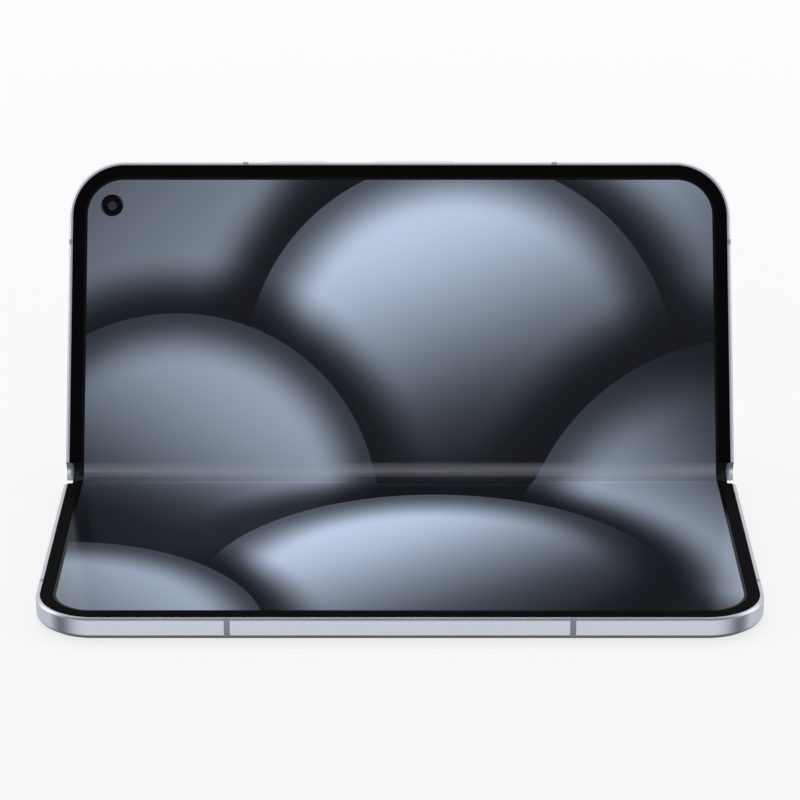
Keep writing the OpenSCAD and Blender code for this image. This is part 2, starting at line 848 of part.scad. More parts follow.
// Switches behind a button, each with a round dome
module switches(xs, gap) {
    back = half_depth - wall - flange_t - gap;
    for (x = xs) {
        block(x - 1.6, x + 1.6, back - 1.6, back - 0.4, button_w - 1, button_w + 1);
        translate([x, back, button_w]) rotate([90, 0, 0]) cylinder(r = 0.8, h = 0.5);
    }
}

module power_button() {
    color("lightsteelblue") place_upper() button(power_x, power_l, fit);
}

module power_switch() {
    color("silver") place_upper() switches([power_x], fit + button_travel + 0.05);
}

module volume_rocker() {
    color("lightsteelblue") place_upper() button(volume_x, volume_l, button_travel + 0.05);
}

module volume_switches() {
    color("silver") place_upper() switches([volume_x - 6, volume_x + 6], 2 * button_travel + 0.15);
}

// USB-C receptacle: a shell and its tongue
module usb_port() {
    back = usb_end - usb_deep;
    color("silver") place_upper() {
        difference() {
            along_x(back, usb_end) oval_section(usb_w, usb_h);
            along_x(back + 1, usb_end + 1) oval_section(usb_w - 2 * usb_shell, usb_h - 2 * usb_shell);
        }
        centred(back + 0.5, usb_end - 1.5, usb_v, 6.6, usb_c, 0.7);
    }
}

module usb_board() {
    color("darkgreen") place_upper()
        block(port_x, usb_end - usb_deep - 0.1, usb_board_v0, usb_board_v1,
            usb_c - 0.3, usb_c + 0.3);
}

module bottom_speaker() {
    color("dimgray") place_upper() block(port_x, half_w - wall - 0.7, 11, 25, 1, inside_top - 0.1);
}

// Thin mesh behind the speaker holes
module speaker_mesh() {
    color("black") place_upper() block(half_w - wall - 0.6, half_w - wall - 0.1, 12.8, 24.2, 1.4, 3.4);
}

module haptic_motor() {
    color("silver") place_upper()
        block(port_x, port_x + 12, haptic_v, haptic_v + haptic_l, 1, inside_top - 0.1);
}

module upper_hinge_arms() {
    color("gray") place_upper() hinge_arms(1, 0);
}

module upper_hinge_screws() {
    color("silver") place_upper() arm_screws(1);
}

module upper_magnets() {
    color("dimgray") place_upper() magnets();
}

lower_frame();
lower_antenna_bands();
lower_bezel();
lower_backing_plate();
lower_display();
cover_glass();
cover_panel();
cover_camera();
lower_battery();
lower_board();
lower_shield();
earpiece_speaker();
sim_tray();
sim_socket();
lower_hinge_arms();
lower_hinge_screws();
lower_magnets();
spine_cover();
spine_end_caps();
hinge_blocks();
hinge_block_screws();
pinion_shafts();
lower_outer_pinion();
lower_inner_pinion();
upper_inner_pinion();
upper_outer_pinion();
display_fold();
upper_frame();
upper_antenna_bands();
upper_bezel();
upper_backing_plate();
upper_display();
rear_glass();
camera_island();
camera_windows();
main_camera();
wide_camera();
tele_camera();
camera_flash();
upper_battery();
charging_coil();
main_board();
processor();
board_shields();
inner_camera();
power_button();
power_switch();
volume_rocker();
volume_switches();
usb_port();
usb_board();
bottom_speaker();
speaker_mesh();
haptic_motor();
upper_hinge_arms();
upper_hinge_screws();
upper_magnets();
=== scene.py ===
import json
import math
import bmesh
import bpy
from mathutils import Matrix, Vector


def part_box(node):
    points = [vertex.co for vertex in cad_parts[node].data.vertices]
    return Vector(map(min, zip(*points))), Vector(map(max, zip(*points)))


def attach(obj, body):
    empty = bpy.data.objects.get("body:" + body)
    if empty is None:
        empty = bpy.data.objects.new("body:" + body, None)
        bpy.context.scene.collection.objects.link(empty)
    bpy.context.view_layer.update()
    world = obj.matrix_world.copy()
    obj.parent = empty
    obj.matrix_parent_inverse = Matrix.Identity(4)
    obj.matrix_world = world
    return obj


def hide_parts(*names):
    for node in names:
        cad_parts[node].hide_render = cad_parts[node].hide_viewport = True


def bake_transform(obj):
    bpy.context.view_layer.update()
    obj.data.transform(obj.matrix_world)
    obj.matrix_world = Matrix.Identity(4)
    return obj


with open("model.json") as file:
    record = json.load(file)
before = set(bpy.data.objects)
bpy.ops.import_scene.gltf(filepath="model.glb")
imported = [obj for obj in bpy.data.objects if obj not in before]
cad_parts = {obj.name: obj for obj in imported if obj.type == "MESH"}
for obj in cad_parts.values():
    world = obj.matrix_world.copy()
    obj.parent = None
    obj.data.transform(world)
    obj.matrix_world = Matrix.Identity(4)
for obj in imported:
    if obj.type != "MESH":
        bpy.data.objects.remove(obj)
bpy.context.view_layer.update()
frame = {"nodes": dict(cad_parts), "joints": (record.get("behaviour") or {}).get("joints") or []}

MM = 0.001


# Camera. The photograph looks at the open phone from straight in front and a little above, through
# a long lens. The aim point is over the fold line, 23 mm above the table.
FRAME_PX = 800
FOCAL_PX = 3070
AXIS_BELOW_MIDDLE_PX = 5.56
SENSOR_MM = 36
camera_far = 705.57 * MM
camera_rise = math.radians(21.936)
hinge = {joint["name"]: joint for joint in frame["joints"]}
lower_axis = Vector(hinge["fold_lower"]["pos_m"])
upper_axis = Vector(hinge["fold_upper"]["pos_m"])
axis_gap = (upper_axis - lower_axis).length
fold_line_y = lower_axis.y + axis_gap / 2
aim = Vector((0, fold_line_y, 22.95 * MM))
lens = bpy.data.cameras.new("camera")
lens.sensor_width = SENSOR_MM
lens.lens = FOCAL_PX / FRAME_PX * SENSOR_MM
lens.shift_y = AXIS_BELOW_MIDDLE_PX / FRAME_PX
lens.clip_start = 0.01
camera = bpy.data.objects.new("camera", lens)
bpy.context.scene.collection.objects.link(camera)
camera.location = aim + camera_far * Vector((0, -math.cos(camera_rise), math.sin(camera_rise)))
camera.rotation_euler = (math.pi / 2 - camera_rise, 0, 0)
bpy.context.scene.camera = camera


# Table and studio. A wide pale table top, a large soft lamp overhead and two upright soft lamps at
# the sides, in a room that is bright behind and has a dark strip on its floor in front, which draws
# the dark bands on the metal. The camera sees a nearly white table.
def feed(tree, socket, value):
    """Gives a socket its link, its colour or its number."""
    if isinstance(value, Shade):
        tree.links.new(value.socket, socket)
    else:
        socket.default_value = (*value, 1) if socket.type == "RGBA" else value


class Shade:
    """One socket of a finish. Arithmetic on it adds Math nodes to the finish."""

    def __init__(self, tree, socket):
        self.tree = tree
        self.socket = socket

    def node(self, kind, settings=None, values=None, output=0):
        """Adds a node: its settings first, a ramp's stops among them, then its sockets' values."""
        made = self.tree.nodes.new(kind)
        for name, value in (settings or {}).items():
            if name == "stops":
                ramp = made.color_ramp
                for place, colour in value[1:-1]:
                    ramp.elements.new(place).color = (*colour, 1)
                ends = ((ramp.elements[0], value[0]), (ramp.elements[-1], value[-1]))
                for element, (place, colour) in ends:
                    element.color = (*colour, 1)
                    element.position = place
            elif name == "ramp_interpolation":
                made.color_ramp.interpolation = value
            else:
                setattr(made, name, value)
        for name, value in (values or {}).items():
            feed(self.tree, made.inputs[name], value)
        return Shade(self.tree, made.outputs[output])

    def maths(self, operation, *values):
        return self.node("ShaderNodeMath", {"operation": operation}, dict(enumerate(values)))

    def __add__(self, other):
        return self.maths("ADD", self, other)

    def __sub__(self, other):
        return self.maths("SUBTRACT", self, other)

    def __rsub__(self, other):
        return self.maths("SUBTRACT", other, self)

    def __mul__(self, other):
        return self.maths("MULTIPLY", self, other)

    def __truediv__(self, other):
        return self.maths("DIVIDE", self, other)

    __radd__ = __add__
    __rmul__ = __mul__

    def smaller(self, other):
        return self.maths("MINIMUM", self, other)

    def larger(self, other):
        return self.maths("MAXIMUM", self, other)

    def size(self):
        return self.maths("ABSOLUTE", self)

    def rise(self, low, high):
        """Smooth step from 0 at low to 1 at high; it falls where high is the smaller."""
        settings = {"interpolation_type": "SMOOTHSTEP"}
        if low < high:
            return self.node("ShaderNodeMapRange", settings, {0: self, 1: low, 2: high})
        return 1 - self.node("ShaderNodeMapRange", settings, {0: self, 1: high, 2: low})

    def moved(self, way):
        return self.node("ShaderNodeVectorMath", {"operation": "ADD"}, {0: self, 1: way})

    def stretched(self, times):
        return self.node("ShaderNodeVectorMath", {"operation": "MULTIPLY"}, {0: self, 1: times})

    def length(self):
        return self.node("ShaderNodeVectorMath", {"operation": "LENGTH"}, {0: self}, 1)

    def parts(self):
        return [self.node("ShaderNodeSeparateXYZ", None, {0: self}, axis) for axis in range(3)]

    def colours(self, *stops, ease="EASE"):
        settings = {"stops": stops, "ramp_interpolation": ease}
        return self.node("ShaderNodeValToRGB", settings, {0: self})

    def mixed(self, factor, other):
        return self.node("ShaderNodeMix", {"data_type": "RGBA"}, {0: factor, 6: self, 7: other}, 2)

    def noise(self, scale, detail=2.0, roughness=0.5):
        values = {"Vector": self, "Scale": scale, "Detail": detail, "Roughness": roughness}
        return self.node("ShaderNodeTexNoise", None, values)

    def bump(self, distance, strength=1.0):
        values = {"Height": self, "Distance": distance, "Strength": strength}
        return self.node("ShaderNodeBump", None, values)


def finish(paint, *details, name=None):
    """A material: paint takes the place on the piece and gives the values of the shader's sockets."""
    material = bpy.data.materials.new(name or paint.__name__)
    material.use_nodes = True
    tree = material.node_tree
    shader = tree.nodes["Principled BSDF"]
    place = Shade(tree, tree.nodes.new("ShaderNodeTexCoord").outputs["Object"])
    for socket, value in paint(place, *details).items():
        feed(tree, shader.inputs[socket], value)
    return material


def table_top(place):
    cloudy = place.noise(6.0, 3.0)
    return {
        "Base Color": cloudy.colours((0, (0.86, 0.865, 0.87)), (1, (0.9, 0.9, 0.905))),
        "Roughness": 0.7,
        "Normal": place.noise(900.0, 2.0).bump(0.00005, 0.4),
    }


TABLE_HALF = 3.0
BACKDROP = (0.98, 0.98, 0.982)
shape = bmesh.new()
bmesh.ops.create_grid(shape, x_segments=2, y_segments=2, size=TABLE_HALF)
table_mesh = bpy.data.meshes.new("table")
shape.to_mesh(table_mesh)
shape.free()
table = bpy.data.objects.new("table", table_mesh)
bpy.context.scene.collection.objects.link(table)
table_finish = finish(table_top)
tree = table_finish.node_tree
seen = Shade(tree, tree.nodes.new("ShaderNodeLightPath").outputs["Is Camera Ray"])
glow = seen.node("ShaderNodeEmission", None, {"Color": BACKDROP, "Strength": 1.0})
own = Shade(tree, tree.nodes["Principled BSDF"].outputs[0])
spot = Shade(tree, tree.nodes.new("ShaderNodeTexCoord").outputs["Object"])
away = spot.length().rise(0.15, 0.6)
both = seen.node("ShaderNodeMixShader", None, {0: seen * (0.76 + away * 0.24), 1: own, 2: glow})
tree.links.new(both.socket, tree.nodes["Material Output"].inputs["Surface"])
table_mesh.materials.append(table_finish)
table.visible_glossy = False

world = bpy.data.worlds.new("studio")
bpy.context.scene.world = world
world.use_nodes = True
tree = world.node_tree
look = Shade(tree, tree.nodes.new("ShaderNodeTexCoord").outputs["Generated"])
across, onwards, height = look.parts()
seen = Shade(tree, tree.nodes.new("ShaderNodeLightPath").outputs["Is Camera Ray"])
back = (onwards + height * 0.3 - across.size() * 0.1) * 0.5 + 0.5
room = back.colours((0.2, (0.66, 0.66, 0.665)), (0.45, (0.3, 0.3, 0.304)),
    (0.58, (0.42, 0.42, 0.424)), (0.72, (0.8, 0.8, 0.8)), (0.85, (1, 1, 1)))
ahead = (0 - onwards) / look.stretched((1, 1, 0)).length()
floor = (ahead * 0.5 + 0.5).colours((0, (0.6, 0.6, 0.61)), (0.36, (0.75, 0.75, 0.76)),
    (0.43, (1, 1, 1)), (0.56, (0.35, 0.35, 0.36)), (0.66, (0.08, 0.08, 0.085)),
    (0.75, (0.2, 0.2, 0.205)), (0.87, (0.7, 0.7, 0.7)), (0.95, (1, 1, 1)))
floor = floor.stretched((1.35,) * 3).mixed(height.rise(-0.4, -0.8), (0.2, 0.2, 0.206))
walls = floor.mixed(height.rise(-0.06, 0.06), room)
shown = walls.mixed(seen, BACKDROP)
tree.links.new(shown.socket, tree.nodes["Background"].inputs["Color"])


def soft_lamp(name, place, towards, wide, high, power):
    light = bpy.data.lights.new(name, "AREA")
    light.shape = "RECTANGLE"
    light.size = wide
    light.size_y = high
    light.energy = power
    lamp = bpy.data.objects.new(name, light)
    bpy.context.scene.collection.objects.link(lamp)
    lamp.location = place
    lamp.rotation_euler = (Vector(towards) - Vector(place)).to_track_quat("-Z", "Y").to_euler()


soft_lamp("lamp_overhead", (-0.1, 0.7, 1.5), (0, 0, 0), 2.4, 1.3, 7.5)
soft_lamp("lamp_left", (-1.2, 0.3, 0.6), (0, 0, 0.03), 0.8, 1.0, 4)
soft_lamp("lamp_right", (1.2, 0.25, 0.6), (0, 0, 0.03), 0.8, 1.0, 3.5)
bpy.context.scene.view_settings.view_transform = "Standard"


# Frames. Each half is a ring machined from one bar of aluminium, bead blasted and anodised pale
# blue-grey, with a wide rounding below, a bright cut chamfer above and the slots for keys and ports.
# A half is shaped flat, in millimetres: x along the hinge, y away from it, z from the outer face to
# the screen. It is folded to its place when it is finished.
flat_turn = -math.radians(hinge["fold_lower"]["range_deg"][0])
low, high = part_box("lower_frame")
half_w = (high[0] - low[0]) / 2 / MM
free_edge = (fold_line_y - low[1]) / MM
axis_u = axis_gap / 2 / MM
axis_w = lower_axis.z / MM
corner_r = 13.0
far = free_edge - corner_r
straight = half_w - corner_r
corner_arc = corner_r * math.pi / 2
rim_runs = (far, corner_arc, 2 * straight, corner_arc, far)
rim_length = sum(rim_runs)
seam_v = 0.15
clear_r = 3.75
spine_half = half_w - 2


def folded(angle, y, z):
    pin = Matrix.Translation((0, y, z))
    return pin @ Matrix.Rotation(angle, 4, "X") @ pin.inverted()


to_fold_line = Matrix.Translation((0, fold_line_y, 0)) @ Matrix.Scale(MM, 4)
spine_place = folded(flat_turn, lower_axis.y, lower_axis.z) @ to_fold_line
places = {
    "lower_half": to_fold_line @ Matrix.Scale(-1, 4, (0, 1, 0)),
    "spine": spine_place,
    "upper_half": spine_place @ folded(flat_turn, axis_u, axis_w),
}


def face_of(points):
    """A bmesh of one face through points of three coordinates."""
    bm = bmesh.new()
    bm.faces.new([bm.verts.new(point) for point in points])
    bm.verts.ensure_lookup_table()
    return bm


def rounded(bm, rounds):
    """Rounds corners of a drawn face: rounds lists each corner's place, its radius and the steps."""
    for place, radius, steps in rounds:
        found = [v for v in bm.verts if (v.co - Vector(place)).length < 0.001]
        bmesh.ops.bevel(bm, geom=found, offset=radius, segments=steps, profile=0.5, affect="VERTICES",
            material=-1)
    return bm


def only(kind, parts):
    return [part for part in parts if isinstance(part, kind)]


def pulled(bm, faces, way):
    """Extrudes faces and moves the new ones; gives the new ones."""
    made = bmesh.ops.extrude_face_region(bm, geom=faces)["geom"]
    bmesh.ops.translate(bm, vec=way, verts=only(bmesh.types.BMVert, made))
    return only(bmesh.types.BMFace, made)


def plate_of(centre, size, r, w0, w1, steps=12, square=()):
    """A flat plate with rounded corners, drawn by its middle and its sides; square corners stay."""
    (x, v), (a, b) = centre, (size[0] / 2, size[1] / 2)
    corners = [(x - a, v - b), (x + a, v - b), (x + a, v + b), (x - a, v + b)]
    rounds = [((p, q, w0), r, steps) for n, (p, q) in enumerate(corners) if n not in square]
    bm = rounded(face_of([(p, q, w0) for p, q in corners]), rounds)
    pulled(bm, bm.faces[:], (0, 0, w1 - w0))
    bmesh.ops.recalc_face_normals(bm, faces=bm.faces)
    return bm


def rim_place(path):
    """Where the rim is after a length of its path: x outwards, y onwards, z up."""
    place = Matrix.Translation((half_w, 0, 0))
    to_centre = Matrix.Translation((-corner_r, 0, 0))
    for index, run in enumerate(rim_runs):
        part = min(path, run)
        path -= part
        if index % 2 == 0:
            place = place @ Matrix.Translation((0, part, 0))
        else:
            turn = Matrix.Rotation(part / corner_r, 4, "Z")
            place = place @ to_centre @ turn @ to_centre.inverted()
    return place


ARC_STEP = 0.55


def swept(points, rounds, start, end):
    """Runs a section, drawn inwards from the rim's outside and upwards, along a stretch of the rim."""
    bm = rounded(face_of([(-d, 0, w) for d, w in points]), [((-d, 0, w), r, n) for d, w, r, n in rounds])
    bmesh.ops.transform(bm, matrix=rim_place(start), verts=bm.verts)
    lead = bm.faces[:]
    stops = [sum(rim_runs[:n]) for n in range(len(rim_runs) + 1)]
    for index, (a, b) in enumerate(zip(stops, stops[1:])):
        a, b = max(a, start), min(b, end)
        if b - a < 0.001:
            continue
        if index % 2 == 0:
            onwards = rim_place(a).to_3x3() @ Vector((0, 1, 0))
            lead = pulled(bm, lead, onwards * (b - a))
        else:
            centre = rim_place(a) @ Vector((-corner_r, 0, 0))
            made = bmesh.ops.spin(bm, geom=lead, cent=centre, axis=(0, 0, 1),
                angle=(b - a) / corner_r, steps=math.ceil((b - a) / ARC_STEP))
            lead = only(bmesh.types.BMFace, made["geom_last"])
    inside = [face for face in bm.faces if all(len(edge.link_faces) > 2 for edge in face.edges)]
    bmesh.ops.delete(bm, geom=inside, context="FACES_ONLY")
    return bm


LYING = Matrix.Rotation(math.pi / 2, 4, "Y")


def lathed(points, at=(0, 0, 0), steps=64, laid=Matrix()):
    """Turns an outline of radius and height about an upright axis, which may then be laid down."""
    bm = bmesh.new()
    line = [bm.verts.new((r, 0, h)) for r, h in points]
    edges = [bm.edges.new(pair) for pair in zip(line, line[1:])]
    bmesh.ops.spin(bm, geom=line + edges, cent=(0, 0, 0), axis=(0, 0, 1), angle=2 * math.pi,
        steps=steps, use_merge=True)
    bmesh.ops.remove_doubles(bm, verts=bm.verts, dist=0.0001)
    bmesh.ops.recalc_face_normals(bm, faces=bm.faces)
    bmesh.ops.transform(bm, matrix=Matrix.Translation(at) @ laid, verts=bm.verts)
    return bm


def joined(shapes):
    """Puts the shapes of several bmeshes into the first."""
    whole = shapes[0]
    spare = bpy.data.meshes.new("spare")
    for shape in shapes[1:]:
        shape.to_mesh(spare)
        whole.from_mesh(spare)
        shape.free()
    bpy.data.meshes.remove(spare)
    return whole


def cut(bm, tools):
    """Takes the tools' shapes away from a solid."""
    bmesh.ops.recalc_face_normals(bm, faces=bm.faces)
    held = []
    for shape in [bm, *tools]:
        mesh = bpy.data.meshes.new("cut")
        shape.to_mesh(mesh)
        shape.free()
        held.append(bpy.data.objects.new("cut", mesh))
        bpy.context.scene.collection.objects.link(held[-1])
    for tool in held[1:]:
        change = held[0].modifiers.new("cut", "BOOLEAN")
        change.operation = "DIFFERENCE"
        change.solver = "EXACT"
        change.object = tool
    result = bmesh.new()
    result.from_object(held[0], bpy.context.evaluated_depsgraph_get())
    for one in held:
        bpy.data.meshes.remove(one.data)
    return result


def eased(bm, width, steps=2, over=35):
    """Breaks the sharp edges of a solid."""
    bmesh.ops.remove_doubles(bm, verts=bm.verts, dist=0.0002)
    bmesh.ops.dissolve_limit(bm, angle_limit=math.radians(0.1), verts=bm.verts, edges=bm.edges)
    bmesh.ops.recalc_face_normals(bm, faces=bm.faces)
    sharp = [edge for edge in bm.edges if edge.calc_face_angle(0) > math.radians(over)]
    bmesh.ops.bevel(bm, geom=sharp, offset=width, segments=steps, profile=0.5, affect="EDGES",
        clamp_overlap=True, material=-1)
    return bm


def piece(bm, name, body, material, sharp=32, flats=True):
    """Makes a shape drawn on a flat half the object of a piece, folds it to its place and rides it."""
    bmesh.ops.transform(bm, matrix=places[body], verts=bm.verts)
    bmesh.ops.recalc_face_normals(bm, faces=bm.faces)
    for edge in bm.edges:
        edge.smooth = edge.calc_face_angle(0) < math.radians(sharp)
    for face in bm.faces:
        face.smooth = True
    mesh = bpy.data.meshes.new(name)
    bm.to_mesh(mesh)
    bm.free()
    mesh.materials.append(material)
    made = bpy.data.objects.new(name, mesh)
    bpy.context.scene.collection.objects.link(made)
    if flats:
        made.modifiers.new("flats", "WEIGHTED_NORMAL").keep_sharp = True
        evaluated = made.evaluated_get(bpy.context.evaluated_depsgraph_get())
        made.data = bpy.data.meshes.new_from_object(evaluated)
        made.modifiers.clear()
        made.data.name = name
        bpy.data.meshes.remove(mesh)
    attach(made, body)
    return made


def blasted_aluminium(place):
    grain = place.noise(14000.0, 2.0)
    drift = place.noise(45.0, 3.0)
    tint = drift.colours((0.3, (0.485, 0.515, 0.575)), (0.7, (0.51, 0.54, 0.6)))
    speck = grain.colours((0.2, (0.44, 0.47, 0.53)), (0.8, (0.56, 0.59, 0.65)))
    return {
        "Base Color": tint.mixed(0.12, speck),
        "Metallic": 1.0,
        "Roughness": 0.24 + 0.08 * drift + 0.06 * grain,
        "Normal": grain.bump(0.000006, 0.6),
    }


metal = finish(blasted_aluminium)
antenna_w = 1.25
side_band = free_edge - 19.2
edge_band = far + corner_arc + straight - 36.3
middles = (side_band, edge_band, rim_length - edge_band, rim_length - side_band)
bands = [(p - antenna_w / 2, p + antenna_w / 2) for p in middles]
run_ends = [seam_v, *[p for band in bands for p in band], rim_length - seam_v]
stretches = list(zip(run_ends[::2], run_ends[1::2]))
rim_wall = 1.6
rim_points = [(0, 4.64), (0.44, 5.08), (0.88, 5.08), (0.88, 4.1), (rim_wall, 4.1), (rim_wall, 0.55),
    (1.0, 0.55), (1.0, 0.42), (0, 0.42)]
rim_rounds = [(0, 4.64, 0.1, 3), (0.44, 5.08, 0.05, 2), (0.88, 5.08, 0.03, 2), (0, 0.42, 0.98, 10)]
port_v, port_w = 40.0, 2.4
PORT_L, PORT_H, PORT_R = 8.94, 3.16, 1.57
sound_w = 2.5
key_w = 2.375
keys = {"power": (-24.15, 14.3), "volume": (3.3, 19.6)}
KEY_HIGH = 1.9
FIT = 0.05
NOTCH = (0.6, 4.6, 3.3)  # onwards, up and radius
FLOOR_IN = 1.5


def drilled(side, v, w, r):
    """A round hole through an end wall, with a broken edge at its mouth."""
    outline = [(0, -2.2), (r, -2.2), (r, -0.09), (r + 0.12, 0.03), (r + 0.12, 0.6), (0, 0.6)]
    hole = lathed(outline, steps=32, laid=LYING)
    if side < 0:
        bmesh.ops.rotate(hole, matrix=Matrix.Rotation(math.pi, 3, "Z"), verts=hole.verts)
    bmesh.ops.translate(hole, vec=(side * half_w, v, w), verts=hole.verts)
    return hole


def pocket(centre, long, high, start, deep, r, along="x"):
    """A slot with rounded ends, sunk along x or y from start by deep."""
    bm = plate_of((0, 0), (long, high), r, start, start + deep, 10)
    axes = ((0, 0, 1), (1, 0, 0), (0, 1, 0)) if along == "x" else ((-1, 0, 0), (0, 0, 1), (0, 1, 0))
    bmesh.ops.transform(bm, matrix=Matrix(axes).to_4x4(), verts=bm.verts)
    bmesh.ops.translate(bm, vec=centre, verts=bm.verts)
    return bm


def port_slot(grown, start, deep):
    """A slot like the inlet's outside, grown or shrunk all round."""
    size = (PORT_L + 2 * grown, PORT_H + 2 * grown)
    return pocket((0, port_v, port_w), *size, start, deep, PORT_R + grown)


def rod(x0, x1, y, z, r):
    """A finely turned cylinder along the hinge."""
    return lathed([(0, x0), (r, x0), (r, x1), (0, x1)], (0, y, z), 128, LYING)


def box(centre, size):
    bm = bmesh.new()
    bmesh.ops.create_cube(bm, size=1)
    bmesh.ops.scale(bm, vec=size, verts=bm.verts)
    bmesh.ops.translate(bm, vec=centre, verts=bm.verts)
    return bm


def notch(side):
    """The round room at one end of the hinge, in which the two halves pass each other."""
    if side > 0:
        return rod(spine_half, half_w + 1, *NOTCH)
    return rod(-half_w - 1, -spine_half, *NOTCH)


def half_frame(name, body, openings):
    """One half's metal: five stretches of rim between the antenna breaks, floor and hinge strip."""
    shapes = []
    for index, (start, end) in enumerate(stretches):
        stretch = swept(rim_points, rim_rounds, start, end)
        tools = openings.get(index, [])
        if index in (0, 4):
            tools = tools + [notch(1 if index == 0 else -1)]
        shapes.append(eased(cut(stretch, tools) if tools else stretch, 0.035))
    end_x = half_w - 1.05
    section = [(seam_v, 0), (2.2, 0), (2.2, 0.55), (6.2, 0.55), (6.2, 3.1), (seam_v, 3.1)]
    strip = face_of([(-end_x, v, w) for v, w in section])
    pulled(strip, strip.faces[:], (2 * end_x, 0, 0))
    wings = [box((side * (half_w - 0.8), 4, 2.1), (1.8, 8, 3.1)) for side in (-1, 1)]
    clear = rod(-spine_half - 0.25, spine_half + 0.25, axis_u, axis_w, clear_r)
    shapes.append(eased(cut(strip, [clear, notch(1), notch(-1), *wings]), 0.05))
    inner, near, end = half_w - FLOOR_IN, 5, free_edge - FLOOR_IN
    shapes.append(plate_of((0, (near + end) / 2), (2 * inner, end - near), corner_r - FLOOR_IN,
        3.7, 4.1, square=(0, 1)))
    made = piece(joined(shapes), name, body, metal)
    return made


tray_v, tray_l, tray_h = 22.0, 14.0, 1.6
SOUND_R, SOUND_STEP, PIN_R = 0.5, 1.8, 0.4
lower_openings = {
    0: [pocket((half_w, tray_v, sound_w), tray_l + 2 * FIT, tray_h + 2 * FIT, -2, 3, 0.8),
        *[drilled(1, v, sound_w, PIN_R) for v in (31.4, 44)]],
    4: [drilled(-1, 18 + SOUND_STEP * n, sound_w, SOUND_R) for n in range(5)],
}
upper_openings = {
    0: [*[drilled(1, 14 + SOUND_STEP * n, port_w, SOUND_R) for n in range(6)],
        *[drilled(1, v, port_w, PIN_R) for v in (27, 30)], port_slot(FIT, half_w - 3, 4)],
    2: [pocket((x, free_edge, key_w), long + 2 * FIT, KEY_HIGH + 2 * FIT, -2.5, 3.5, 0.98, "y")
        for x, long in keys.values()],
}
lower_ring = half_frame("lower_ring", "lower_half", lower_openings)
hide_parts("lower_frame")
upper_ring = half_frame("upper_ring", "upper_half", upper_openings)
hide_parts("upper_frame")


# Antenna breaks. Four bars of filled nylon in each ring, moulded into gaps in the aluminium and
# machined flush with it, so that the radio passes.
def plain(pattern, dark, light, smooth, rough, ends=(0.2, 0.8), relief=None, metallic=1.0):
    """A finish whose colour, gloss and relief follow one pattern; a metal, unless told otherwise."""
    look = {
        "Base Color": pattern.colours((ends[0], dark), (ends[1], light)),
        "Metallic": metallic,
        "Roughness": smooth + rough * pattern,
    }
    if relief:
        look["Normal"] = pattern.bump(*relief)
    return look


def antenna_plastic(place):
    grain = place.noise(9000.0, 2.0)
    return plain(grain, (0.235, 0.26, 0.325), (0.275, 0.3, 0.37), 0.5, 0.1,
        relief=(0.000006, 0.5), metallic=0)


antenna = finish(antenna_plastic)
for half in ("lower", "upper"):
    bars = [eased(swept(rim_points, rim_rounds, start, end), 0.03) for start, end in bands]
    made = piece(joined(bars), half + "_breaks", half + "_half", antenna)
    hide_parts(half + "_antenna_bands")


# Bezels. A soft black strip stands round each screen half and keeps the two faces apart when shut.
# It is moulded in one piece with a thin lip over the screen's edge, and glued into the ring.
def bezel_rubber(place):
    grain = place.noise(7000.0, 3.0)
    worn = place.noise(120.0, 3.0)
    look = plain(worn, (0.0026, 0.0026, 0.003), (0.0034, 0.0034, 0.0039), 0.5, 0.12, (0.3, 0.7),
        metallic=0)
    return {**look, "Specular IOR Level": 0.01, "Normal": grain.bump(0.000008, 0.5)}


bezel = finish(bezel_rubber)
bezel_end = 3.85
lip_w = 5.02
bezel_points = [(0.93, 4.12), (0.93, 5.2), (3.63, 5.2), (3.63, lip_w), (1.85, lip_w), (1.85, 4.12)]
bezel_rounds = [(0.93, 5.2, 0.12, 4), (3.63, 5.2, 0.13, 4)]
for half in ("lower", "upper"):
    strip = eased(swept(bezel_points, bezel_rounds, bezel_end, rim_length - bezel_end), 0.06, 3, 50)
    made = piece(strip, half + "_bezel_strip", half + "_half", bezel)
    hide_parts(half + "_bezel")


# Folding screen. One sheet of display under a thin clear film: two rigid halves and a middle that is built
# bent about both fold axes. The lit picture is a generic stack of softly shaded round forms.
screen_top, screen_low = 5.0, 4.4
screen_half = half_w - 1.9
screen_far = free_edge - 1.9
screen_r = corner_r - 1.9
fold_end = 3.6
LIT_HALF, LIT_FAR, LIT_R = 73.3, 70.8, 8.4
UV_SCALE = 0.01
camera_x, camera_v = -half_w + 10, free_edge - 10.5
camera_hole_r = 2.45


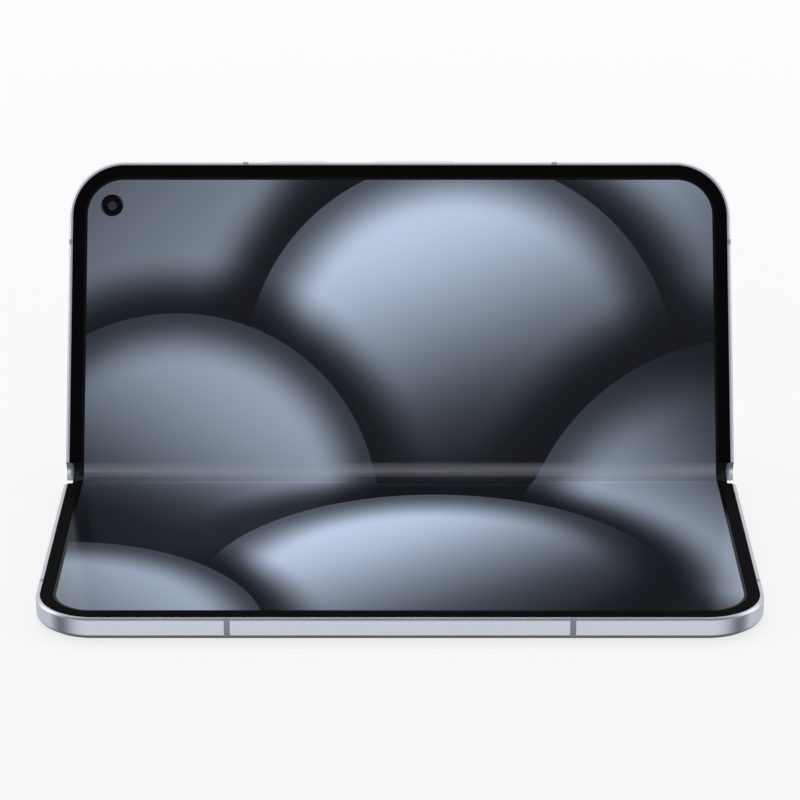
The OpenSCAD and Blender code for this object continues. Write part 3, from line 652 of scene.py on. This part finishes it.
def lit_screen(place):
    sheet = place.node("ShaderNodeUVMap", {"uv_map": "sheet"}).stretched((1 / UV_SCALE,) * 3)
    across, along, _ = sheet.parts()
    picture = 0.16 + 0.3 * (along * 0.011 + across * 0.004).size().smaller(1.0)
    picture = picture * 0.8
    forms = [
        # centre across and along, radius, light from, its shade at the dark and the light side
        ((64, 62), 58, (-0.9, 0.45), (0.3, 0.92)),
        ((-88, 78), 74, (0.75, -0.65), (0.02, 0.6)),
        ((14, 26), 50, (-0.35, 0.95), (0.05, 0.95)),
        ((-52, -8), 47, (0.55, 0.85), (0.0, 0.74)),
        ((82, -22), 55, (-0.85, -0.5), (0.06, 0.88)),
        ((8, -62), 52, (-0.55, 0.8), (0.03, 0.98)),
        ((-74, -82), 46, (0.7, 0.6), (0.02, 0.8)),
    ]
    for (x, y), radius, (light_x, light_y), (dark, bright) in forms:
        spot = sheet.moved((-x, -y, 0)).stretched((1 / radius,) * 3)
        out = spot.length()
        right, up, _ = spot.parts()
        inside = out.rise(1.004, 0.996)
        shadow = out.rise(0.98, 1.32)
        side = (right * light_x + up * light_y) * 0.5 + 0.5
        glow = side.rise(0.12, 0.95)
        rim = out.rise(1.0, 0.72)
        tone = dark + (bright - dark) * glow * (0.35 + 0.65 * rim)
        picture = picture * (0.12 + 0.88 * shadow)
        picture = picture * (1 - inside) + tone * inside
    colour = picture.colours((0, (0.003, 0.0042, 0.006)), (0.2, (0.008, 0.0105, 0.0145)),
        (0.45, (0.085, 0.1, 0.128)), (0.75, (0.3, 0.36, 0.46)), (1, (0.6, 0.7, 0.92)), ease="B_SPLINE")
    over_x = (across.size() - (LIT_HALF - LIT_R)).larger(0.0)
    over_y = (along.size() - (LIT_FAR - LIT_R)).larger(0.0)
    edge = over_x * over_x + over_y * over_y
    lit = edge.rise((LIT_R + 0.04) ** 2, (LIT_R - 0.06) ** 2)
    hole = sheet.moved((-camera_x, -camera_v, 0)).length()
    lit = lit * hole.rise(camera_hole_r + 0.12, camera_hole_r + 0.22)
    smear = place.noise(60.0, 3.0)
    # Painted highlight: along the upper side of the crease, a pale blue-grey is mixed into the lit picture
    # to stand in for the crease's reflection. The coat weight there also gives a real reflection.
    crease_sheen = along.rise(-0.6, 2.0) * along.rise(4.2, 2.6) * lit
    shown = colour.mixed(crease_sheen * 0.16, (0.17, 0.2, 0.26))
    return {
        "Base Color": (0.0035, 0.0037, 0.0045),
        "Roughness": 0.09 + 0.05 * smear,
        "Coat Weight": crease_sheen * 0.7,
        "Coat Roughness": 0.3,
        "Coat IOR": 2.1,
        "Specular IOR Level": 0.06,
        "Emission Color": shown.mixed(1 - lit, (0.0004, 0.0004, 0.0006)),
        "Emission Strength": 1.0,
        "Normal": place.noise(400.0, 2.0).bump(0.0000015, 0.5),
    }


screen = finish(lit_screen)


def mapped(bm, side):
    """Maps the sheet laid flat; side is -1 for a shape drawn on the lower half."""
    layer = bm.loops.layers.uv.new("sheet")
    for face in bm.faces:
        for loop in face.loops:
            loop[layer].uv = (loop.vert.co.x * UV_SCALE, side * loop.vert.co.y * UV_SCALE)


for half, side in (("lower", -1), ("upper", 1)):
    slab = plate_of((0, (fold_end + screen_far) / 2), (2 * screen_half, screen_far - fold_end),
        screen_r, screen_low, screen_top, 24, (0, 1))
    if half == "upper":
        mouth_r = camera_hole_r + 0.09
        outline = [(0, 4), (camera_hole_r, 4), (camera_hole_r, 4.93), (mouth_r, 5.02), (mouth_r, 6), (0, 6)]
        slab = cut(slab, [lathed(outline, (camera_x, camera_v, 0))])
    mapped(slab, side)
    made = piece(slab, half + "_screen", half + "_half", screen)
    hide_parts(half + "_display")

FOLD_STEPS = 36
for half, side in (("lower", -1), ("upper", 1)):
    section = [(-screen_half, screen_low), (screen_half, screen_low), (screen_half, screen_top),
        (-screen_half, screen_top)]
    sheet = face_of([(x, 0, w) for x, w in section])
    lead = sheet.faces[:]
    for _ in range(FOLD_STEPS):
        lead = pulled(sheet, lead, (0, side * fold_end / FOLD_STEPS, 0))
    mapped(sheet, 1)
    bend_from = Vector((0, side * 3.5, screen_top))
    bend_to = Vector((0, side * 0.15, screen_top))
    held = folded(side * flat_turn, side * axis_u, axis_w)
    start = held @ bend_from
    way = bend_to - start
    for vert in sheet.verts:
        flat = vert.co.copy()
        for _ in range(60):
            share = min(max((vert.co - start).dot(way) / way.length_squared, 0), 1)
            share = share * share * (3 - 2 * share)
            vert.co = folded(side * flat_turn * (1 - share), side * axis_u, axis_w) @ flat
    made = piece(sheet, half + "_fold", "spine", screen, flats=False)
    start, end = spine_place @ start, spine_place @ bend_to
    made.parent = None
    if half == "lower":
        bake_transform(made)
    else:
        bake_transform(made)
    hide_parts("display_fold")


# Inner camera. A small camera looks out through a round opening in the upper screen: a matt black
# barrel with a stepped cone, a coated glass lens deep in it, and its square module behind.
def black_barrel(place):
    grain = place.noise(8000.0, 2.0)
    look = plain(grain, (0.0012, 0.0012, 0.0016), (0.0025, 0.0025, 0.003), 0.4, 0.1,
        relief=(0.000004, 0.4), metallic=0)
    return {**look, "Specular IOR Level": 0.06}


barrel = finish(black_barrel)


def coated_lens(place, centre, radius):
    """Dark glass under a thin clear coat. The violet and green rings about its middle are a painted
    reflection in its base colour.
    """
    out = place.moved(tuple(-c for c in centre)).length() / radius
    # Painted reflection: these rings in the base colour stand in for the coloured reflections of the coated
    # lens.
    painted_lens_rings = out.colours((0, (0.012, 0.02, 0.045)), (0.35, (0.006, 0.008, 0.02)),
        (0.6, (0.03, 0.012, 0.06)), (0.82, (0.008, 0.03, 0.04)), (1, (0.002, 0.002, 0.003)))
    return {
        "Base Color": painted_lens_rings,
        "Roughness": 0.03 + 0.02 * place.noise(3000.0),
        "Coat Weight": 0.15,
        "Coat Roughness": 0.02,
        "Specular IOR Level": 0.3,
    }


def facing(outline, x, v, face_w, side):
    """Turns an outline of radius and depth, and stands it in a face that looks up or down."""
    bm = lathed(outline)
    bmesh.ops.scale(bm, vec=(1, 1, -side), verts=bm.verts)
    bmesh.ops.translate(bm, vec=(x, v, face_w), verts=bm.verts)
    return bm


def eye(name, body, x, v, face_w, side, r, deep, extra=()):
    """A camera's barrel and lens, seen in a round opening of radius r in a face."""
    outline = [(0, 0.95), (0.42, 0.95), (0.45, 0.9), (0.6, 0.45), (0.64, 0.4), (0.78, 0.37), (0.8, 0.3),
        (0.86, 0.24), (0.93, 0.2), (0.965, 0.26), (0.965, 1.2), (0, 1.2)]
    tube = facing([(a * r, d * deep) for a, d in outline], x, v, face_w, side)
    tube = piece(joined([tube, *extra]), name + "_barrel", body, barrel, sharp=40)
    dome = [(0, 0.4), (0.1, 0.405), (0.2, 0.425), (0.3, 0.47), (0.38, 0.53), (0.42, 0.6),
        (0.44, 0.7), (0.44, 1.1), (0, 1.1)]
    glass = facing([(a * r, d * deep) for a, d in dome], x, v, face_w, side)
    middle = places[body] @ Vector((x, v, face_w - side * 0.5 * deep))
    coating = finish(coated_lens, middle, 0.46 * r * MM, name=name + "_coating")
    glass = piece(glass, name + "_lens", body, coating, sharp=60)
    return tube


def post(at, r, w0, w1, steps=64):
    """An upright cylinder."""
    return lathed([(0, w0), (r, w0), (r, w1), (0, w1)], (*at, 0), steps)


module = eased(box((camera_x, camera_v + 0.8, 2.3), (6, 5, 2.5)), 0.15)
stem = post((camera_x, camera_v), camera_hole_r - 0.1, 3.5, 4.7)
inner = eye("inner_camera", "upper_half", camera_x, camera_v, screen_top - 0.03, 1, camera_hole_r, 0.32,
    [module, stem])
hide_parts("inner_camera")


# Outer screen. The lower half's outside is a sheet of black glass with rounded edges, glued into the
# ring, with an unlit display behind it and a camera in a round opening. The phone lies on it.
def soft_edge(bm, level, r, steps=6, axis=2):
    """Rounds the edges of a solid that lie in the face at a level along an axis."""
    found = [e for e in bm.edges if all(abs(v.co[axis] - level) < 0.0005 for v in e.verts)]
    bmesh.ops.bevel(bm, geom=found, offset=r, segments=steps, profile=0.5, affect="EDGES", material=-1)
    return bm


glass_v = 2.25
glass_inset = 1.05
glass_far = free_edge - glass_inset
glass_size = (2 * (half_w - glass_inset), glass_far - glass_v)
glass_middle = (0, (glass_far + glass_v) / 2)
cover_camera = (-half_w + 9.5, free_edge / 2)
COVER_HOLE_R = 1.75


def outer_sheet():
    """A glass sheet with square corners at the hinge and its outer edges rounded."""
    sheet = plate_of(glass_middle, glass_size, corner_r - glass_inset, 0, 0.5, 28, (0, 1))
    return soft_edge(sheet, 0, 0.36)


panel_half, panel_near, panel_far = 75.1 * MM, 6.4 * MM, 72 * MM
panel_blur = 0.1 * MM


def black_glass(place):
    x, y, _ = place.parts()
    v = fold_line_y - y
    panel = x.size().rise(panel_half + panel_blur, panel_half)
    panel = panel * v.rise(panel_near - panel_blur, panel_near) * v.rise(panel_far + panel_blur, panel_far)
    colour = panel.colours((0, (0.0028, 0.0028, 0.003)), (1, (0.0048, 0.005, 0.0062)))
    smear = place.noise(38.0, 4.0)
    return {
        "Base Color": colour,
        "Roughness": 0.04 + 0.07 * smear,
        "Coat Weight": 0.4,
        "Coat Roughness": 0.04,
        "Normal": place.noise(300.0, 2.0).bump(0.000002, 0.4),
    }


sheet = cut(outer_sheet(), [post(cover_camera, COVER_HOLE_R, -1, 1, 48)])
outer_glass = piece(sheet, "outer_glass", "lower_half", finish(black_glass), sharp=40)
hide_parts("cover_glass")
eye("outer_camera", "lower_half", *cover_camera, 0.03, -1, COVER_HOLE_R + 0.04, 0.42)


# Rear glass. The upper half's outside is one sheet of etched glass, coloured on its inner side to
# match the aluminium, satin to the touch, with its edges rounded and an opening for the island.
def etched_glass(place):
    sparkle = place.noise(16000.0, 2.0)
    drift = place.noise(20.0, 3.0)
    colour = drift.colours((0.3, (0.44, 0.475, 0.565)), (0.7, (0.465, 0.5, 0.59)))
    glint = sparkle.colours((0.35, (0.4, 0.43, 0.52)), (0.7, (0.55, 0.59, 0.68)))
    return {
        "Base Color": colour.mixed(0.15, glint),
        "Roughness": 0.34 + 0.08 * drift,
        "Coat Weight": 0.25,
        "Coat Roughness": 0.3,
        "Normal": sparkle.bump(0.000003, 0.5),
    }


island_l, island_w, island_h, island_r = 37.0, 42.0, 2.2, 9.0
island_x = -half_w + 7.5 + island_l / 2
island_v = free_edge - 7.5 - island_w / 2


def island_plate(less, w0, w1, steps):
    """A plate with the island's outline, less something all round."""
    size = (island_l - 2 * less, island_w - 2 * less)
    return plate_of((island_x, island_v), size, island_r - less, w0, w1, steps)


sheet = cut(outer_sheet(), [island_plate(0.6, -1, 2, 16)])
rear = piece(sheet, "rear_sheet", "upper_half", finish(etched_glass), sharp=40)
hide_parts("rear_glass")


# Camera island. A raised block of the same aluminium, milled with a wide soft edge and blasted, with
# two oval windows of black glass let into it. Cameras look through three openings, a lamp the fourth.
window_pitch, window_l, window_h, window_t, window_out = 18.5, 36.0, 14.5, 0.65, 0.1
lens_v = 10.6
block = soft_edge(island_plate(0, -island_h, -0.02, 20), -island_h, 1.25, 10)
windows = [(island_x + side * window_pitch / 2, island_v) for side in (-1, 1)]
seat_w = -island_h + window_t - window_out + FIT


def window_plate(at, less, w0, w1):
    """An oval plate as wide as a window's seat, or less."""
    return plate_of(at, (window_h - less, window_l - less), (window_h - less) / 2 - 0.01, w0, w1, 20)


tools = [window_plate(at, 0, -island_h - 1, seat_w) for at in windows]
tools += [window_plate(at, 1, -island_h - 0.5, 1) for at in windows]
plug = cut(island_plate(0.65, -0.5, 0.6, 16), [window_plate(at, 1, -1, 1) for at in windows])
island = piece(joined([eased(cut(block, tools), 0.06), plug]), "island_block", "upper_half", metal)
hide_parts("camera_island")


def window_glass(place):
    smear = place.noise(55.0, 3.0)
    look = plain(smear, (0.003, 0.003, 0.0034), (0.0042, 0.0043, 0.005), 0.03, 0.05, (0.3, 0.7),
        metallic=0)
    return {**look, "Coat Weight": 0.5, "Coat Roughness": 0.03}


def bright_ring(place):
    fine = place.stretched((9000.0,) * 3).noise(1.0, 2.0)
    return plain(fine, (0.2, 0.21, 0.24), (0.3, 0.32, 0.36), 0.22, 0.1)


window_face = -island_h - window_out
ring_finish = finish(bright_ring)
window_x = [at[0] for at in windows]
eyes = {
    "main": ((window_x[0], island_v + lens_v), 4.7),
    "wide": ((window_x[0], island_v - lens_v), 4.0),
    "tele": ((window_x[1], island_v + lens_v), 4.4),
}
flash_at = (window_x[1], island_v - lens_v)
FLASH_R = 2.35
panes = []
for at in windows:
    pane = soft_edge(window_plate(at, 0.1, window_face, window_face + window_t), window_face, 0.22, 4)
    round_tools = [post(middle, r, -6, 1) for middle, r in (*eyes.values(), (flash_at, FLASH_R))
        if middle[0] == at[0]]
    panes.append(eased(cut(pane, round_tools), 0.04, 2, 60))
pane = piece(joined(panes), "window_panes", "upper_half", finish(window_glass), sharp=40)
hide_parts("camera_windows")
for name, ((x, v), r) in eyes.items():
    eye(name + "_camera", "upper_half", x, v, window_face, -1, r, 0.62)
    trim = [(0.86, 0.5), (0.86, 0.1), (0.88, 0.06), (0.985, 0.06), (0.995, 0.09), (0.995, 0.5),
        (0.86, 0.5)]
    ring = facing([(a * r, d) for a, d in trim], x, v, window_face, -1)
    made = piece(ring, name + "_camera_ring", "upper_half", ring_finish, sharp=50)


# Flash. A small round lamp lens of clear plastic with pressed rings, over a yellow phosphor chip.
flash_middle = places["upper_half"] @ Vector((*flash_at, window_face))


def flash_lens(place):
    out = place.moved(tuple(-c for c in flash_middle)).length() / MM
    rings = out.maths("SINE", out * 26.0)
    chip = out.rise(1.15, 0.95)
    colour = chip.colours((0, (0.62, 0.6, 0.52)), (1, (0.8, 0.62, 0.16)))
    return {"Base Color": colour, "Roughness": 0.14 + 0.05 * rings, "Coat Weight": 0.5,
        "Normal": rings.bump(0.00003, 0.5)}


outline = [(0, 0.1), (0.8, 0.11), (1.6, 0.14), (2.2, 0.2), (2.3, 0.26), (2.3, 0.75), (0, 0.75)]
lamp = facing(outline, *flash_at, window_face, -1)
lamp = piece(lamp, "flash_lens", "upper_half", finish(flash_lens), sharp=50)


# Keys. The power key and the volume rocker are milled from the same aluminium, with a soft front
# edge, and a flange inside the ring holds each one in.
KEY_OUT, FOOT_T = 0.4, 0.4
TILT_ROOM = 0.35
for name, (x, long) in keys.items():
    gap = FIT if name == "power" else TILT_ROOM
    flange = free_edge - rim_wall - gap
    front = free_edge + KEY_OUT
    cap = pocket((x, 0, key_w), long, KEY_HIGH, flange - 0.1, front - flange + 0.1, 0.94, "y")
    soft_edge(cap, front, 0.12, 4, axis=1)
    foot = box((x, flange - FOOT_T / 2, key_w), (long + 1, FOOT_T, KEY_HIGH + 0.5))
    body = {"power": "power_button", "volume": "volume_rocker"}[name]
    places[body] = places["upper_half"]
    made = piece(joined([cap, foot]), name + "_key", body, metal, sharp=40)
    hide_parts(body)


# SIM tray. A bar of the ring's aluminium closes the slot flush, and carries a thin open frame for
# the card; a pin in the small hole beside it pushes it out.
bar = pocket((half_w, tray_v, sound_w), tray_l, tray_h, -2, 2, 0.75)
soft_edge(bar, half_w, 0.07, 3, axis=0)
CARRIER, CARD = (16.1, 11), (12.6, 8.8)
carrier = box((half_w - 9.95, tray_v, sound_w), (*CARRIER, 0.8))
carrier = cut(carrier, [plate_of((half_w - 10.3, tray_v), CARD, 0.6, 0, 5, 6)])
places["sim_tray"] = places["lower_half"]
tray = piece(joined([bar, eased(carrier, 0.08)]), "card_tray", "sim_tray", metal, sharp=40)
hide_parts("sim_tray")


# USB-C receptacle. A drawn stainless shell stands in the right-hand wall, with a black tongue in its
# middle that has twelve gold contacts on each face.
def drawn_steel(place):
    fine = place.stretched((400.0, 9000.0, 9000.0)).noise(1.0, 2.0)
    return plain(fine, (0.42, 0.42, 0.42), (0.6, 0.6, 0.6), 0.26, 0.12, relief=(0.000004, 0.5))


def contact_gold(place):
    return plain(place.noise(5000.0), (0.78, 0.55, 0.2), (0.88, 0.65, 0.28), 0.2, 0.1)


port_end = half_w - 0.5
port_deep = 7.6
port_start = port_end - port_deep
PORT_WALL = 0.3
shell = cut(port_slot(0, port_start, port_deep), [port_slot(-PORT_WALL, port_start + 1, port_deep)])
made = piece(eased(shell, 0.08), "port_shell", "upper_half", finish(drawn_steel))
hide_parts("usb_port")
tongue = pocket((0, port_v, port_w), 6.6, 0.7, port_start + 0.5, port_deep - 2, 0.3)
piece(eased(tongue, 0.08), "port_tongue", "upper_half", barrel)
CONTACT_STEP = 0.5
contacts = [box((port_end - 3.6, port_v + (n - 5.5) * CONTACT_STEP, port_w + side * 0.36), (3.4, 0.26, 0.04))
    for n in range(12) for side in (-1, 1)]
made = piece(joined(contacts), "port_contacts", "upper_half", finish(contact_gold))


# Spine. A bent aluminium cover closes the hinge from behind. It is a trough of two arcs about the
# fold axes joined by a flat, polished brighter than the ring, and the halves turn round it.
spine_r, spine_wall = 3.6, 0.4
spine_top_w = 3.1
turn = math.asin((axis_w - spine_top_w) / spine_r)
trough = bmesh.new()
first = trough.verts.new((-spine_half, -axis_u - spine_r * math.cos(turn), spine_top_w))
arc = math.pi / 2 - turn
bend = {"axis": (1, 0, 0), "angle": arc, "steps": 30}
made = bmesh.ops.spin(trough, geom=[first], cent=(0, -axis_u, axis_w), **bend)
last = only(bmesh.types.BMVert, made["geom_last"])
made = bmesh.ops.extrude_vert_indiv(trough, verts=last)
bmesh.ops.translate(trough, vec=(0, 2 * axis_u, 0), verts=made["verts"])
bmesh.ops.spin(trough, geom=made["verts"], cent=(0, axis_u, axis_w), **bend)
made = bmesh.ops.extrude_edge_only(trough, edges=trough.edges[:])
bmesh.ops.translate(trough, vec=(2 * spine_half, 0, 0), verts=only(bmesh.types.BMVert, made["geom"]))
bmesh.ops.recalc_face_normals(trough, faces=trough.faces)
bmesh.ops.solidify(trough, geom=trough.faces[:], thickness=-spine_wall)


def satin_aluminium(place):
    lines = place.stretched((60.0, 7000.0, 7000.0)).noise(1.0, 3.0)
    return plain(lines, (0.58, 0.615, 0.7), (0.66, 0.695, 0.775), 0.2, 0.1, relief=(0.000003, 0.4))


satin = finish(satin_aluminium)
cover = piece(eased(trough, 0.05), "hinge_cover", "spine", satin)
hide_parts("spine_cover")


def dressed(material, *nodes):
    """Gives a finish to pieces that keep the shape they were built with."""
    for name in nodes:
        for held in frame["nodes"][name].material_slots:
            held.material = material


dressed(satin, "spine_end_caps")


# Hinge works. Machined stainless arms and blocks carry four small sintered gears on ground shafts,
# so that both halves turn together. Screws with a dark oxide skin hold the arms and the blocks.
def milled_steel(place):
    marks = place.stretched((5200.0, 700.0, 5200.0)).noise(1.0, 2.0)
    stain = place.noise(260.0, 3.0)
    colour = marks.colours((0.2, (0.4, 0.41, 0.43)), (0.8, (0.56, 0.57, 0.59)))
    worn = stain.colours((0.3, (0.3, 0.3, 0.31)), (0.7, (0.6, 0.61, 0.63)))
    return {
        "Base Color": colour.mixed(0.25, worn),
        "Metallic": 1.0,
        "Roughness": 0.26 + 0.14 * marks,
        "Normal": marks.bump(0.000006, 0.5),
    }


def ground_steel(place):
    rings = place.stretched((9000.0, 300.0, 300.0)).noise(1.0, 2.0)
    return plain(rings, (0.5, 0.51, 0.53), (0.66, 0.67, 0.69), 0.14, 0.1)


def sintered_steel(place):
    pores = place.noise(11000.0, 3.0)
    oil = place.noise(900.0, 2.0)
    return {
        "Base Color": pores.colours((0.3, (0.12, 0.12, 0.125)), (0.6, (0.3, 0.3, 0.31))),
        "Metallic": 1.0,
        "Roughness": 0.3 + 0.2 * oil,
        "Normal": pores.bump(0.000008, 0.6),
    }


def black_oxide(place):
    skin = place.noise(2400.0, 3.0)
    return plain(skin, (0.02, 0.02, 0.022), (0.07, 0.07, 0.075), 0.34, 0.16, (0.3, 0.75))


dressed(finish(milled_steel), "lower_hinge_arms", "upper_hinge_arms", "hinge_blocks")
dressed(finish(ground_steel), "pinion_shafts")
dressed(finish(sintered_steel), "lower_outer_pinion", "lower_inner_pinion",
    "upper_inner_pinion", "upper_outer_pinion")
dressed(finish(black_oxide), "lower_hinge_screws", "upper_hinge_screws",
    "hinge_block_screws")


# Magnets. Nickel-plated blocks glued along the free edges hold the phone shut.
def nickel_plate(place):
    cloud = place.noise(700.0, 3.0)
    return plain(cloud, (0.55, 0.53, 0.48), (0.7, 0.68, 0.62), 0.12, 0.14, (0.3, 0.7))


dressed(finish(nickel_plate), "lower_magnets", "upper_magnets", "haptic_motor")


# Backing plates. Thin rolled stainless sheets under the rigid screen halves, glued to the floors.
def rolled_steel(place):
    grain = place.stretched((40.0, 3600.0, 3600.0)).noise(1.0, 3.0)
    return plain(grain, (0.36, 0.37, 0.39), (0.5, 0.51, 0.53), 0.28, 0.14, relief=(0.000003, 0.5))


dressed(finish(rolled_steel), "lower_backing_plate", "upper_backing_plate")


# Outer display panel. A black film stack bonded behind the outer glass, dark while it is off.
def panel_film(place):
    cloud = place.noise(30.0, 2.0)
    look = plain(cloud, (0.004, 0.004, 0.006), (0.006, 0.0065, 0.009), 0.16, 0.1, (0.3, 0.7), metallic=0)
    return {**look, "Coat Weight": 0.2}


dressed(finish(panel_film), "cover_panel")


# Cells. Two pouch cells of wrinkled aluminium laminate, with a dark taped strip along the hinge
# side, each stuck to its floor.
def flat_on(place, body):
    """The place on a flat half, in millimetres."""
    way, turn, times = places[body].inverted().decompose()
    values = {"Vector": place, "Location": way, "Rotation": turn.to_euler(), "Scale": times}
    return place.node("ShaderNodeMapping", {"vector_type": "POINT"}, values)


def pouch_foil(place, body):
    _, v, _ = flat_on(place, body).parts()
    wrinkle = place.noise(160.0, 5.0, 0.65)
    taped = v.rise(12.0, 11.6)
    silver = wrinkle.colours((0.3, (0.36, 0.365, 0.38)), (0.7, (0.5, 0.505, 0.52)))
    return {
        "Base Color": silver.mixed(taped, (0.02, 0.02, 0.024)),
        "Metallic": 0.9 * (1 - taped),
        "Roughness": 0.3 + 0.25 * wrinkle,
        "Normal": wrinkle.bump(0.00006, 0.5),
    }


for half in ("lower", "upper"):
    dressed(finish(pouch_foil, half + "_half", name=half + "_pouch_foil"), half + "_battery")


# Circuit boards. Green boards with a fine maze of covered tracks and rows of tinned pads. Stamped
# tinplate cans close over the parts on them, soldered down along their walls.
def solder_mask(place, body):
    at = flat_on(place, body)
    tracks = at.node("ShaderNodeTexVoronoi", {"feature": "F1", "distance": "CHEBYCHEV"},
        {"Vector": at, "Scale": 1.1, "Randomness": 0.7})
    lines = tracks.maths("SINE", tracks * 34.0)
    raised = lines.rise(-0.2, 0.4)
    x, v, _ = at.parts()
    grid_x = x.maths("FRACT", x * 0.8)
    grid_v = v.maths("FRACT", v * 1.6)
    pads = grid_x.rise(0.3, 0.34) * grid_x.rise(0.62, 0.58)
    pads = pads * grid_v.rise(0.3, 0.34) * grid_v.rise(0.7, 0.66)
    pads = pads * place.noise(130.0, 1.0).rise(0.5, 0.54)
    green = raised.colours((0, (0.006, 0.06, 0.026)), (1, (0.012, 0.1, 0.045)))
    return {
        "Base Color": green.mixed(pads, (0.6, 0.6, 0.58)),
        "Metallic": pads * 0.9,
        "Roughness": 0.34 + 0.1 * raised,
        "Normal": (raised + pads).bump(0.00002, 0.7),
    }


def tin_can(place):
    grain = place.noise(1500.0, 3.0)
    look = plain(grain, (0.5, 0.5, 0.49), (0.62, 0.62, 0.61), 0.3, 0.14, (0.3, 0.7))
    return {**look, "Normal": place.noise(90.0, 2.0).bump(0.00003, 0.4)}


dressed(finish(solder_mask, "lower_half", name="lower_solder_mask"), "lower_board")
dressed(finish(solder_mask, "upper_half", name="upper_solder_mask"), "main_board", "usb_board")
dressed(finish(tin_can), "lower_shield", "board_shields", "sim_socket")


# Charging coil. Enamelled copper wire wound flat, stuck on the upper cell behind the rear glass.
low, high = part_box("charging_coil")
coil_middle = tuple(-(a + b) / 2 for a, b in zip(low, high))


def enamelled_wire(place):
    out = place.moved(coil_middle).length() / MM
    turns = out.maths("SINE", out * 9.0)
    return plain(turns, (0.32, 0.11, 0.04), (0.68, 0.3, 0.14), 0.3, -0.06, (0.1, 0.9), (0.00005, 0.8), 0.95)


dressed(finish(enamelled_wire), "charging_coil")


# Modules. Camera blocks, speakers, switches and the processor have moulded black bodies; the speaker
# grille is a fine woven steel mesh glued behind its holes.
def moulded_black(place):
    grain = place.noise(3800.0, 3.0)
    return plain(grain, (0.012, 0.012, 0.013), (0.022, 0.022, 0.024), 0.44, 0.16, (0.3, 0.7),
        (0.00001, 0.5), 0)


def woven_mesh(place):
    _, v, w = flat_on(place, "upper_half").stretched((1, 44.0, 44.0)).parts()
    weave = v.maths("SINE", v) * w.maths("SINE", w)
    return plain(weave, (0.012, 0.012, 0.013), (0.16, 0.16, 0.17), 0.4, 0.1, (0.1, 0.6), (0.00002, 0.8), 0.8)


dressed(finish(moulded_black), "cover_camera", "main_camera", "wide_camera",
    "tele_camera", "camera_flash", "earpiece_speaker", "bottom_speaker", "processor", "power_switch",
    "volume_switches")
dressed(finish(woven_mesh), "speaker_mesh")
